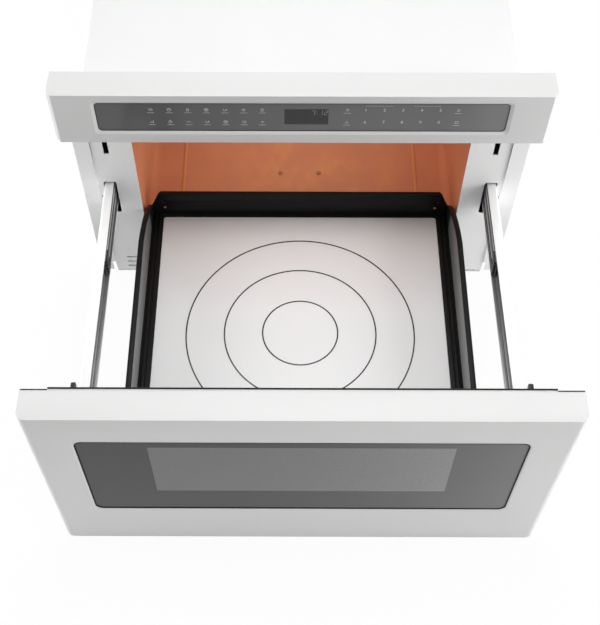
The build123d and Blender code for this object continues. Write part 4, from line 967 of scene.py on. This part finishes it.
SEGMENT_ENDS = {"a": (-1, 1, 1, 1), "g": (-1, 0, 1, 0), "d": (-1, -1, 1, -1),
                "b": (1, 1, 1, 0), "c": (1, 0, 1, -1), "e": (-1, 0, -1, -1)}


class Pen:
    """Prints on the face of a glass."""

    def __init__(self, look, face):
        self.width = look.stroke
        self.film = look.film
        self.face = face

    def bar(self, start, end, width=None):
        """A stroke between two (x, z) points."""
        width = width or self.width
        run = Vector((end[0] - start[0], 0, end[1] - start[1]))
        centre = ((start[0] + end[0]) / 2, self.face - self.film / 2, (start[1] + end[1]) / 2)
        stroke = added(bpy.ops.mesh.primitive_cube_add, size=1, location=centre,
                       rotation=(0, -math.atan2(run.z, run.x), 0),
                       scale=(run.length + width, self.film, width))
        return round_edges(named("stroke", stroke), edges_along("y"), width * 0.3, 1)

    def ring(self, x, z, radius):
        centre = (x, self.face - self.film / 2, z)
        disc = rod("ring", centre, "y", radius + self.width / 2, self.film, 20)
        return carve(disc, rod("hole", centre, "y", radius - self.width / 2, 4 * self.film, 20))

    def icon(self, kind, x, z, size):
        """One key sign."""
        half = size / 2
        strokes = []
        for shape in ICONS[kind]:
            if len(shape) == 3:
                strokes.append(self.ring(x + shape[0] * half, z + shape[1] * half, shape[2] * half))
                continue
            points = [(x + across * half, z + up * half) for across, up in zip(shape[::2], shape[1::2])]
            strokes += [self.bar(start, end) for start, end in zip(points, points[1:])]
        return strokes

    def digit(self, character, x, z, height):
        """A printed digit."""
        text = added(bpy.ops.object.text_add, location=(x, self.face, z), rotation=TURN["y"])
        text.data.body = character
        text.data.align_x = "CENTER"
        text.data.align_y = "CENTER"
        text.data.size = height * 1.4
        text.data.extrude = self.film
        text.data.resolution_u = 3
        bpy.ops.object.convert(target="MESH")
        return named("digit", bpy.context.object)

    def segment_digit(self, character, x, z, height):
        """A slanted display digit made of straight segments."""
        half, reach, slant, width = height * 0.45, height * 0.27 * 0.86, height * 0.06, height * 0.09
        strokes = []
        for segment in SEGMENTS[character]:
            ends = SEGMENT_ENDS[segment]
            start, end = ((x + across * reach + up * slant, z + up * half)
                          for across, up in zip(ends[::2], ends[1::2]))
            strokes.append(self.bar(start, end, width))
        return strokes


class DRAWER_OT_control(bpy.types.Operator):
    """Finishes the touch glass and prints its keys, digits and display"""

    bl_idname = "drawer.control"
    bl_label = "Touch glass"

    def execute(self, context):
        look = context.scene.drawer_control
        low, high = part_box("control_glass")
        wear(self.glass(look, low, high), "control_glass")
        wear(black("display_case", 0.02), "display_module")
        wear(board_finish("control_board", context.scene.drawer_inside.board), "control_board")
        pen = Pen(look, low.y)
        ink = print_finish("key_ink", look.ink)
        rows = (high.z - 10.7 * MM, high.z - 31.4 * MM)
        fit(self.signs(look, pen, rows), "case", "control_glass", ink)
        fit(self.digits(look, pen, rows), "case", "control_glass", ink)
        lit = print_finish("display_segments", look.lit, 0.1)
        fit(self.display(pen, high.z - 15.3 * MM), "case", "display_black", lit)
        return {"FINISHED"}

    def glass(self, look, low, high):
        """Grey glass, printed behind, with a darker window over the display, and painted reflection that
        lightens it towards the right.
        """
        finish = Finish("touch_glass", Coat_Weight=0.1, Coat_Roughness=0.05, Specular_IOR_Level=0.3)
        x = finish.along("x")
        z = finish.along("z")
        # Painted reflection: the grey runs from the darker left end to the lighter right end.
        tint = finish.mix((x - low.x) / (high.x - low.x), look.glass_left, look.glass_right)
        display_x, half_x = 5.4 * MM, 26.5 * MM
        display_z, half_z = high.z - 22.3 * MM, 13.2 * MM
        soft = 0.2 * MM
        window = (x - display_x).size().below(half_x, soft) * (z - display_z).size().below(half_z, soft)
        smudge = finish.noise(30 * MM, 3.0)
        return finish.complete(finish.mix(window, tint, look.window),
                               smudge * 0.10 + 0.16, finish.noise(60 * MM), 0.01 * MM)

    def signs(self, look, pen, rows):
        """The key signs in two rows, each over a short line."""
        columns = [(look.first + index * look.pitch, kinds) for index, kinds in enumerate(KEY_SIGNS)]
        columns += [(54.5 * MM, ("open", "close")), (187.5 * MM, ("start", "stop"))]
        half = look.line / 2
        strokes = []
        for x, kinds in columns:
            for kind, z in zip(kinds, rows):
                line_z = z - look.line_drop
                strokes += pen.icon(kind, x, z, look.icon)
                strokes.append(pen.bar((x - half, line_z), (x + half, line_z)))
        return joined("key_signs", strokes)

    def digits(self, look, pen, rows):
        """The ten digits in two rows, with two thin lines over them."""
        strokes = [pen.digit(str((start + index) % 10), look.first_digit + index * look.pitch, z, look.digit)
                   for index in range(5) for start, z in zip((1, 6), rows)]
        line_z = rows[0] + 7.0 * MM
        for start, end in ((look.first_digit, 109.0 * MM), (134.0 * MM, 165.7 * MM)):
            strokes.append(pen.bar((start, line_z), (end, line_z), 0.3 * MM))
        return joined("key_digits", strokes)

    def display(self, pen, z):
        """Three slanted digits and a colon in the display's window."""
        height, step, colon, rise, dot = 7.6 * MM, 6.2 * MM, 3.0 * MM, 1.6 * MM, 0.9 * MM
        start = 13.5 * MM
        strokes = []
        for index, character in enumerate("712"):
            x = start + step * index + (colon if index else 0.0)
            strokes += pen.segment_digit(character, x, z, height)
        colon_x = start + (step + colon) / 2
        for dot_z in (z - rise, z + rise):
            strokes.append(pen.bar((colon_x, dot_z), (colon_x + 0.1 * MM, dot_z), dot))
        return joined("display_digits", strokes)


# ---------------------------------------------------------------- window


class DRAWER_OT_window(bpy.types.Operator):
    """Finishes the drawer's glass, the screen and the sheet behind it"""

    bl_idname = "drawer.window"
    bl_label = "Window"

    def execute(self, context):
        look = context.scene.drawer_window
        wear(self.glass(look, *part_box("drawer_glass")), "drawer_glass")
        wear(painted("screen_paint", look.screen, 0.5), "window_screen")
        wear(black("window_frame_plastic", 0.02), "window_frame")
        wear(self.inner_sheet(look), "inner_window")
        return {"FINISHED"}

    def glass(self, look, low, high):
        """Glass with a dark printed border round a lighter pane; both lighten towards the right as painted
        reflection.
        """
        finish = Finish("window_glass", Specular_IOR_Level=0.1)
        x = finish.along("x")
        z = finish.along("z")
        half_x, half_z, soft = 171.0 * MM, 57.75 * MM, 0.3 * MM
        middle_z = high.z - 70.75 * MM
        pane = x.size().below(half_x, soft) * (z - middle_z).size().below(half_z, soft)
        dots = finish.cells(look.dot, where=finish.stretched(1.0, 0.0, 1.0)).below(0.3, 0.08)
        # Painted reflection: across grows towards the right end and lightens the border and the pane.
        across = ((x - low.x) / (high.x - low.x)) ** 3
        border_colour = finish.mix(across, look.border, look.border_right_lit)
        clear = finish.mix(dots * 0.35, finish.mix(across, look.pane, look.pane_right_lit), tone(look.pane, 0.7))
        smudge = finish.noise(45 * MM, 3.0)
        return finish.complete(finish.mix(pane, border_colour, clear),
                               smudge * 0.08 + 0.14, finish.noise(80 * MM), 0.01 * MM)

    def inner_sheet(self, look):
        """The clear sheet on the drawer's inside, over a fine screen of dots."""
        finish = Finish("inner_sheet", Coat_Weight=0.5, Coat_Roughness=0.06)
        dots = finish.cells(look.dot, where=finish.stretched(1.0, 0.0, 1.0)).below(0.34, 0.06)
        finish.surface(Base_Color=finish.varied(dots, look.film, 1.0, 0.3), Roughness=dots * 0.1 + 0.12)
        return finish.material


# ---------------------------------------------------------------- tray


class RimLine:
    """The rim's top line: straight from the front to its crest, then an arc down to the back wall."""

    def __init__(self, look):
        low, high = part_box("tray_walls")
        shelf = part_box("glass_shelf")[1].z
        self.front = (low.y, shelf + look.front_rise)
        self.crest = (low.y + look.crest, shelf + look.crest_rise)
        self.back = (high.y, shelf + look.back_rise)
        bend = (low.y + look.bend, shelf + look.bend_rise)
        self.centre, self.radius = self.circle(self.crest, bend, self.back)

    def circle(self, a, b, c):
        """The circle through three points."""
        first = Vector(b) - Vector(a)
        second = Vector(c) - Vector(a)
        cross = 2 * (first.x * second.y - first.y * second.x)
        x = (second.y * first.length_squared - first.y * second.length_squared) / cross
        y = (first.x * second.length_squared - second.x * first.length_squared) / cross
        return Vector(a) + Vector((x, y)), math.hypot(x, y)

    def height(self, y):
        if y <= self.crest[0]:
            part = (y - self.front[0]) / (self.crest[0] - self.front[0])
            return self.front[1] + part * (self.crest[1] - self.front[1])
        return self.centre.y + math.sqrt(self.radius ** 2 - (y - self.centre.x) ** 2)

    def sweep(self):
        """The angle from the crest to the back wall, seen from the circle's middle."""
        start, end = (math.atan2(z - self.centre.y, y - self.centre.x) for y, z in (self.crest, self.back))
        return start - end


def swept_rim(line, side, x, height, steps):
    """A bar up to the crest, spun on from there along the arc."""
    front, top = line.front[0], line.crest[1]
    rim = side_block("rim", side, x, (front, line.crest[0]), (top - height, top))
    move(rim, at(lambda place: place.y < front + NEAR), (0, 0, line.front[1] - top))
    work(rim, "FACE", facing((0, 1, 0)), bpy.ops.mesh.spin, steps=steps, angle=line.sweep(),
         center=(0, line.centre.x, line.centre.y), axis=(1, 0, 0))
    return right_way_out(rim)


def follow_line(piece, line, steps, shoulder):
    """Cuts a level bar across its length, and lifts what is above its shoulder to the line."""
    work(piece, "EDGE", edges_along("y"), bpy.ops.mesh.subdivide, number_cuts=steps)
    for y in sorted({round(vertex.co.y, 6) for vertex in piece.data.vertices}):
        column = at(lambda place: abs(place.y - y) < NEAR and place.z > shoulder)
        move(piece, column, (0, 0, line.height(y) - line.front[1]))
    return piece


class DRAWER_OT_tray(bpy.types.Operator):
    """Models the tray's walls and rims, its back wall and the shelf in its frame"""

    bl_idname = "drawer.tray"
    bl_label = "Tray"

    def execute(self, context):
        look = context.scene.drawer_tray
        plastic = black("tray_black", look.black[0], 0.42, 0.8 * MM, 0.012 * MM, 0.13)
        self.walls(look, plastic)
        for node, name, radius, segments in (("tray_back", "back_wall", 0.8 * MM, 3),
                                             ("glass_frame", "shelf_frame", 0.5 * MM, 2)):
            fit(softened_copy(node, name, radius, segments), "drawer", "black_plastic", plastic, node)
        wear(plated("tray_zinc", (0.5, 0.5, 0.52), 9.0 * MM), "tray_base")
        fit(self.rings(look), "drawer", "ring_grey", print_finish("ring_ink", look.ring), "ring_marks")
        self.shelf(look)
        copper = plated("stud_copper", (0.75, 0.36, 0.18), 4.0 * MM)
        fit(self.studs(look), "drawer", "screw_steel", copper)
        return {"FINISHED"}

    def walls(self, look, plastic):
        """The grey side walls under their black rims."""
        line = RimLine(look)
        low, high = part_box("tray_walls")
        inset, shoulder = 0.5 * MM, low.z + 5.0 * MM
        top = line.front[1] - look.rim_height / 2
        rims, walls = [], []
        for side in SIDES:
            rim = swept_rim(line, side, (high.x - look.rim, high.x), look.rim_height, look.steps)
            rims.append(soften(rim, look.rim_round, 3, 50))
            wall = side_block("wall", side, (high.x - look.wall, high.x - inset), (low.y, high.y),
                              (low.z, top))
            walls.append(follow_line(wall, line, 2 * look.steps, shoulder))
        fit(joined("wall_rims", rims), "drawer", "black_plastic", plastic, "tray_rims")
        grey = self.wall_finish(look, low, high)
        fit(joined("side_walls", walls), "drawer", "wall_grey", grey, "tray_walls")

    def wall_finish(self, look, low, high):
        """Satin grey plastic that darkens towards the cavity: painted shade."""
        finish = Finish("wall_grey", Specular_IOR_Level=0.3)
        painted_shade_ramp = (finish.along("y") - low.y) / (high.y - low.y)
        cloud = finish.noise(60 * MM, 3.0)
        grain = finish.cells(0.7 * MM)
        corner = finish.along("y").above(high.y - look.corner, 0.4 * MM)
        # Painted shade: the grey runs from the lighter front to the darker back.
        tint = finish.mix(corner, finish.mix(painted_shade_ramp, look.wall_front, look.wall_back), look.black)
        return finish.complete(finish.mix(cloud * 0.10, tint, tone(look.wall_back, 0.8)),
                               cloud * 0.1 + grain * 0.05 + 0.32, grain, 0.015 * MM)

    def studs(self, look):
        """The copper-coloured studs in the back wall's two tabs."""
        place_x, height = 192.5 * MM, 126.0 * MM
        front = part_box("tray_back")[0].y - 1.3 * MM
        return joined("tab_studs", [
            soften(rod("stud", (side * place_x, front, height), "y", look.stud, 0.6 * MM, 24), 0.15 * MM)
            for side in SIDES])

    def rings(self, look):
        """The three printed rings, evenly spaced round one centre."""
        low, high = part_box("ring_marks")
        centre = (low + high) / 2
        outermost = (high.x - low.x) / 2
        rings = []
        for part in (1, 2, 3):
            radius = outermost * part / 3
            mark = rod("ring", centre, "z", radius, high.z - low.z, 160)
            rings.append(carve(mark, rod("hole", centre, "z", radius - look.ring_width, MM, 160)))
        return joined("shelf_rings", rings)

    def shelf(self, look):
        """White glass with ground edges."""
        low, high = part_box("glass_shelf")
        shelf = soften(rounded_slab("white_shelf", low, high, "z", 4.0 * MM), 0.9 * MM, 3)
        finish = Finish("shelf_glass", Coat_Weight=0.25, Coat_Roughness=0.08)
        cloud = finish.noise(120 * MM, 2.0)
        glass = finish.complete(finish.varied(cloud, look.shelf, 0.996, 1.004),
                                cloud * 0.02 + 0.30, finish.noise(1.5 * MM), 0.002 * MM)
        fit(shelf, "drawer", "shelf_white", glass, "glass_shelf")


# ---------------------------------------------------------------- rails


class DRAWER_OT_rails(bpy.types.Operator):
    """Models the folded arms and finishes the telescopic slides"""

    bl_idname = "drawer.rails"
    bl_label = "Rails"

    def execute(self, context):
        look = context.scene.drawer_rails
        case = context.scene.drawer_case
        # Painted light: the arms get a slightly lighter copy of the frame paint.
        self.arms(look, painted("arm_paint", tone(case.paint, 1.04), 0.4))
        plastic = moulded("cage_plastic", look.plastic)
        wear(drawn_steel("slide_steel", look.steel, look.dark), "slide_fixed")
        wear(plastic, "cage_outer", "cage_inner")
        # Painted light and reflection: a lighter copy of the slide steel with dark bands at the track pitch.
        tracks = drawn_steel("track_steel", tone(look.steel, 1.6), look.dark, -0.1, 0.5, look.track)
        self.middle_slides(look, tracks, plastic)
        self.inner_slides(look)
        wear(plated("bracket_zinc", case.zinc, case.spangle), "slide_brackets")
        return {"FINISHED"}

    def pair(self, piece, body, slot, material, node=None):
        """Fits a right-hand piece and its left twin. Bodies and nodes end in the side's name."""
        twin = left_twin(piece, piece.name.replace("right", "left"))
        for side, part in (("right", piece), ("left", twin)):
            fit(part, body.format(side), slot, material, *([node.format(side)] if node else []))

    def arms(self, look, paint):
        low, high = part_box("side_arm_right")
        sheet = look.sheet
        outline = [(low.x, low.z), (high.x, low.z), (high.x, high.z), (low.x, high.z)]
        arm = folded_sheet("arm_right", outline, (low.y, high.y), sheet, look.fold)
        foot = block("foot", (low.x, low.y, low.z + look.fold),
                     (high.x - sheet, low.y + sheet, high.z - sheet))
        arm = soften(joined("arm_right", [arm, foot]), 0.35 * MM)
        self.pair(arm, "drawer", "white_enamel", paint, "side_arm_{}")

    def middle_slides(self, look, steel, plastic):
        """The rolled middle members: a web with two pressed beads between two lips, and a black stop."""
        low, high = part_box("slide_mid_right")
        gauge, depth = look.gauge, high.z - low.z
        outline = [(high.x, high.z), (low.x, high.z), (low.x, low.z), (high.x, low.z)]
        slide = folded_sheet("slide_right", outline, (low.y, high.y), gauge, 1.6 * gauge)
        beads = [rod("bead", (low.x + 0.2 * MM, (low.y + high.y) / 2, low.z + part * depth), "y", 1.1 * MM,
                     high.y - low.y - 2.0 * MM, 16) for part in (0.24, 0.76)]
        slide = soften(joined("slide_right", [slide, *beads]), 0.25 * MM)
        self.pair(slide, "slide_mid_{}", "slide_steel", steel, "slide_mid_{}")
        stop = block("stop_right", (low.x - 0.9 * MM, low.y - 1.0 * MM, low.z - 2.9 * MM),
                     (low.x + 0.3 * MM, low.y + look.stop, high.z - 0.5 * MM))
        notch = block("notch", (low.x - 2.0 * MM, low.y + 0.45 * look.stop, low.z + 0.42 * depth),
                      (low.x + MM, low.y + 2.0 * look.stop, low.z + 0.60 * depth))
        self.pair(soften(carve(stop, notch), 0.35 * MM, 3), "slide_mid_{}", "black_plastic", plastic)

    def inner_slides(self, look):
        """The members on the arms: a rolled channel, and its foot along the arm's lower flange."""
        low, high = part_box("slide_inner_right")
        arm_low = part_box("side_arm_right")[0]
        gauge, foot_height, side_gap = look.gauge, 0.8 * MM, 0.3 * MM
        outline = [(low.x, low.z), (high.x, low.z), (high.x, high.z), (low.x, high.z)]
        channel = folded_sheet("runner_right", outline, (low.y, high.y), gauge, 1.6 * gauge)
        foot_z = arm_low.z + look.sheet
        foot = block("foot", (arm_low.x + side_gap, low.y, foot_z - 0.2 * MM),
                     (high.x, high.y, foot_z + foot_height))
        bead = rod("bead", (low.x + 1.2 * MM, (low.y + high.y) / 2, foot_z + foot_height), "y", 0.7 * MM,
                   high.y - low.y - 2.0 * MM, 12)
        runner = soften(joined("runner_right", [channel, foot, bead]), 0.25 * MM)
        dull = drawn_steel("runner_steel", look.runner, look.dark, -0.1, 0.3)
        self.pair(runner, "drawer", "slide_steel", dull, "slide_inner_{}")


class DRAWER_OT_latches(bpy.types.Operator):
    """Rounds the latch hooks and finishes the latch and switch parts"""

    bl_idname = "drawer.latches"
    bl_label = "Latches"

    def execute(self, context):
        look = context.scene.drawer_rails
        plastic = moulded("latch_plastic", tone(look.plastic, 0.5), 0.38)
        for side in ("right", "left"):
            node = "latch_hook_" + side
            hook = softened_copy(node, "hook_" + side, 0.4 * MM)
            fit(hook, "latch_" + side, "black_plastic", plastic, node)
        wear(screw_steel("pivot_steel"), "latch_pivots")
        wear(screw_steel("black_screw_steel", 0.03, 0.01), "drawer_screws")
        wear(moulded("switch_plastic", look.plastic, 0.5), "interlock_switches")
        wear(nylon("plunger_nylon", look.nylon), "switch_plungers")
        return {"FINISHED"}


class DRAWER_OT_drive(bpy.types.Operator):
    """Finishes the rack, the pinion and the drive motor"""

    bl_idname = "drawer.drive"
    bl_label = "Drive"

    def execute(self, context):
        case = context.scene.drawer_case
        wear(nylon("gear_nylon", context.scene.drawer_rails.nylon), "drive_rack", "drive_pinion")
        wear(plated("drive_zinc", case.zinc, case.spangle), "drive_bracket")
        wear(plated("drive_motor_steel", context.scene.drawer_inside.plated, 14.0 * MM), "drive_motor")
        return {"FINISHED"}


# ---------------------------------------------------------------- inside parts


class DRAWER_OT_inside(bpy.types.Operator):
    """Finishes the power, wave and air parts behind the cavity"""

    bl_idname = "drawer.inside"
    bl_label = "Power, wave and air parts"

    def execute(self, context):
        look = context.scene.drawer_inside
        case = context.scene.drawer_case
        wear(plated("guide_zinc", case.zinc, case.spangle), "waveguide")
        wear(plated("plated_steel", look.plated, 12.0 * MM), "magnetron", "stirrer_motor", "hv_capacitor")
        wear(plated("stirrer_sheet", tone(look.plated, 1.3), 20.0 * MM, 0.3), "stirrer_fan")
        wear(self.core(look), "hv_transformer")
        wear(board_finish("power_boards", look.board), "filter_board", "power_board")
        plastic = moulded("fan_plastic", (0.016, 0.016, 0.017), 0.4)
        wear(plastic, "fan_housing", "fan_wheel", "thermostats")
        return {"FINISHED"}

    def core(self, look):
        """A stack of thin varnished sheets."""
        finish = Finish("varnished_core", Coat_Weight=0.3, Coat_Roughness=0.3)
        sheets = (finish.along("y") * (2 * math.pi / (0.5 * MM))).wave()
        cloud = finish.noise(18 * MM, 3.0)
        return finish.complete(finish.varied(cloud, look.core, 0.7, 1.3),
                               cloud * 0.2 + 0.35, sheets, 0.05 * MM)


# ---------------------------------------------------------------- stage


class DRAWER_OT_stage(bpy.types.Operator):
    """Adds the floor, the lights and the camera"""

    bl_idname = "drawer.stage"
    bl_label = "Stage"

    def execute(self, context):
        look = context.scene.drawer_stage
        context.scene.view_settings.view_transform = "Standard"
        self.floor(look)
        self.sky(context, look)
        self.lamps(look)
        self.camera(context, look)
        return {"FINISHED"}

    def floor(self, look):
        """A pale floor that looks nearly white and keeps the part's shadow."""
        height = cad_box[0].z - look.floor_drop
        floor = named("floor", added(bpy.ops.mesh.primitive_plane_add, size=look.floor_size,
                                     location=(0, 0, height)))
        finish = Finish("floor_paint", Roughness=0.8, Base_Color=look.floor)
        white = finish.node("ShaderNodeEmission", None, {"Color": (1.0, 1.0, 1.0), "Strength": 1.0})
        lit = Signal(finish, finish.shader.outputs[0])
        seen = finish.seen() * look.backdrop
        both = finish.node("ShaderNodeMixShader", None, {0: seen, 1: lit, 2: white})
        finish.feed(finish.tree.nodes["Material Output"].inputs["Surface"], both)
        floor.data.materials.append(finish.material)

    def sky(self, context, look):
        """Even light from all round, seen as plain white."""
        world = bpy.data.worlds.new("studio")
        world.use_nodes = True
        context.scene.world = world
        nodes = Nodes(world.node_tree)
        background = world.node_tree.nodes["Background"]
        nodes.feed(background.inputs["Color"], (1.0, 1.0, 1.0))
        nodes.feed(background.inputs["Strength"], nodes.seen() * (1 - look.sky) + look.sky)

    def lamps(self, look):
        """Soft lamps all round, the right ones strongest in front, and the light inside the cavity."""
        aim = (0, -0.2, 0.2)
        for name, power, place, target, size in (
                ("overhead", look.overhead, (0, -0.2, 2.6), (0, -0.2, 0), 2.6),
                ("near", look.near, (0, 0, 1.5), (0, 0, 0), 0.7),
                ("left", look.left, (-2.2, -0.6, 0.9), aim, 1.6),
                ("left_edge", look.left_edge, (-2.4, 0.35, 0.7), aim, 1.4),
                ("right", look.right, (2.2, -0.6, 0.9), aim, 1.6),
                ("right_edge", look.right_edge, (2.4, 0.35, 0.7), aim, 1.4),
                ("front", look.front, (1.8, -2.0, 0.9), aim, 1.6),
                ("back", look.back, (0, 3.0, 0.7), (0, 0.5, 0.2), 1.8)):
            self.lamp(name + "_lamp", power, place, target, size)
        oven = self.lamp("oven_light", look.oven, (0, 0.21, 0.285), (0, 0.21, 0.1), 0.34)
        oven.visible_glossy = False

    def lamp(self, name, power, place, target, size):
        """A square lamp that shines from a place towards a target."""
        turn = (Vector(target) - Vector(place)).to_track_quat("-Z", "Y").to_euler()
        lamp = added(bpy.ops.object.light_add, type="AREA", location=place, rotation=turn)
        lamp.name = name
        lamp.visible_camera = False
        lamp.data.shape = "SQUARE"
        lamp.data.size = size
        lamp.data.energy = power
        return lamp

    def camera(self, context, look):
        camera = added(bpy.ops.object.camera_add, location=(look.camera_x, look.camera_y, look.camera_z),
                       rotation=(math.pi / 2 - look.down, 0, look.turn))
        camera.name = "camera"
        camera.data.lens = look.lens
        camera.data.sensor_width = 36.0
        camera.data.shift_x = look.shift_x
        camera.data.shift_y = look.shift_y
        camera.data.clip_start = 0.05
        context.scene.camera = camera


STEPS = (
    DRAWER_OT_stage,
    DRAWER_OT_case,
    DRAWER_OT_cavity,
    DRAWER_OT_fronts,
    DRAWER_OT_control,
    DRAWER_OT_window,
    DRAWER_OT_tray,
    DRAWER_OT_rails,
    DRAWER_OT_latches,
    DRAWER_OT_drive,
    DRAWER_OT_inside,
)


class DRAWER_PT_pieces(bpy.types.Panel):
    """Lists the steps and their settings"""

    bl_label = "Microwave drawer"
    bl_idname = "DRAWER_PT_pieces"
    bl_space_type = "VIEW_3D"
    bl_region_type = "UI"
    bl_category = "Drawer"

    def draw(self, context):
        layout = self.layout
        for step in STEPS:
            layout.operator(step.bl_idname)
        for name, group in GROUPS.items():
            box = layout.box()
            box.label(text=name.replace("_", " "))
            for setting in group.__annotations__:
                box.prop(getattr(context.scene, name), setting)


def register():
    for kind in (*GROUPS.values(), *STEPS, DRAWER_PT_pieces):
        bpy.utils.register_class(kind)
    for name, group in GROUPS.items():
        setattr(bpy.types.Scene, name, bpy.props.PointerProperty(type=group))


def unregister():
    for name in GROUPS:
        delattr(bpy.types.Scene, name)
    for kind in (DRAWER_PT_pieces, *reversed(STEPS), *GROUPS.values()):
        bpy.utils.unregister_class(kind)


def main():
    register()
    for step in STEPS:
        family, name = step.bl_idname.split(".")
        getattr(getattr(bpy.ops, family), name)()


if __name__ == "__main__":
    main()
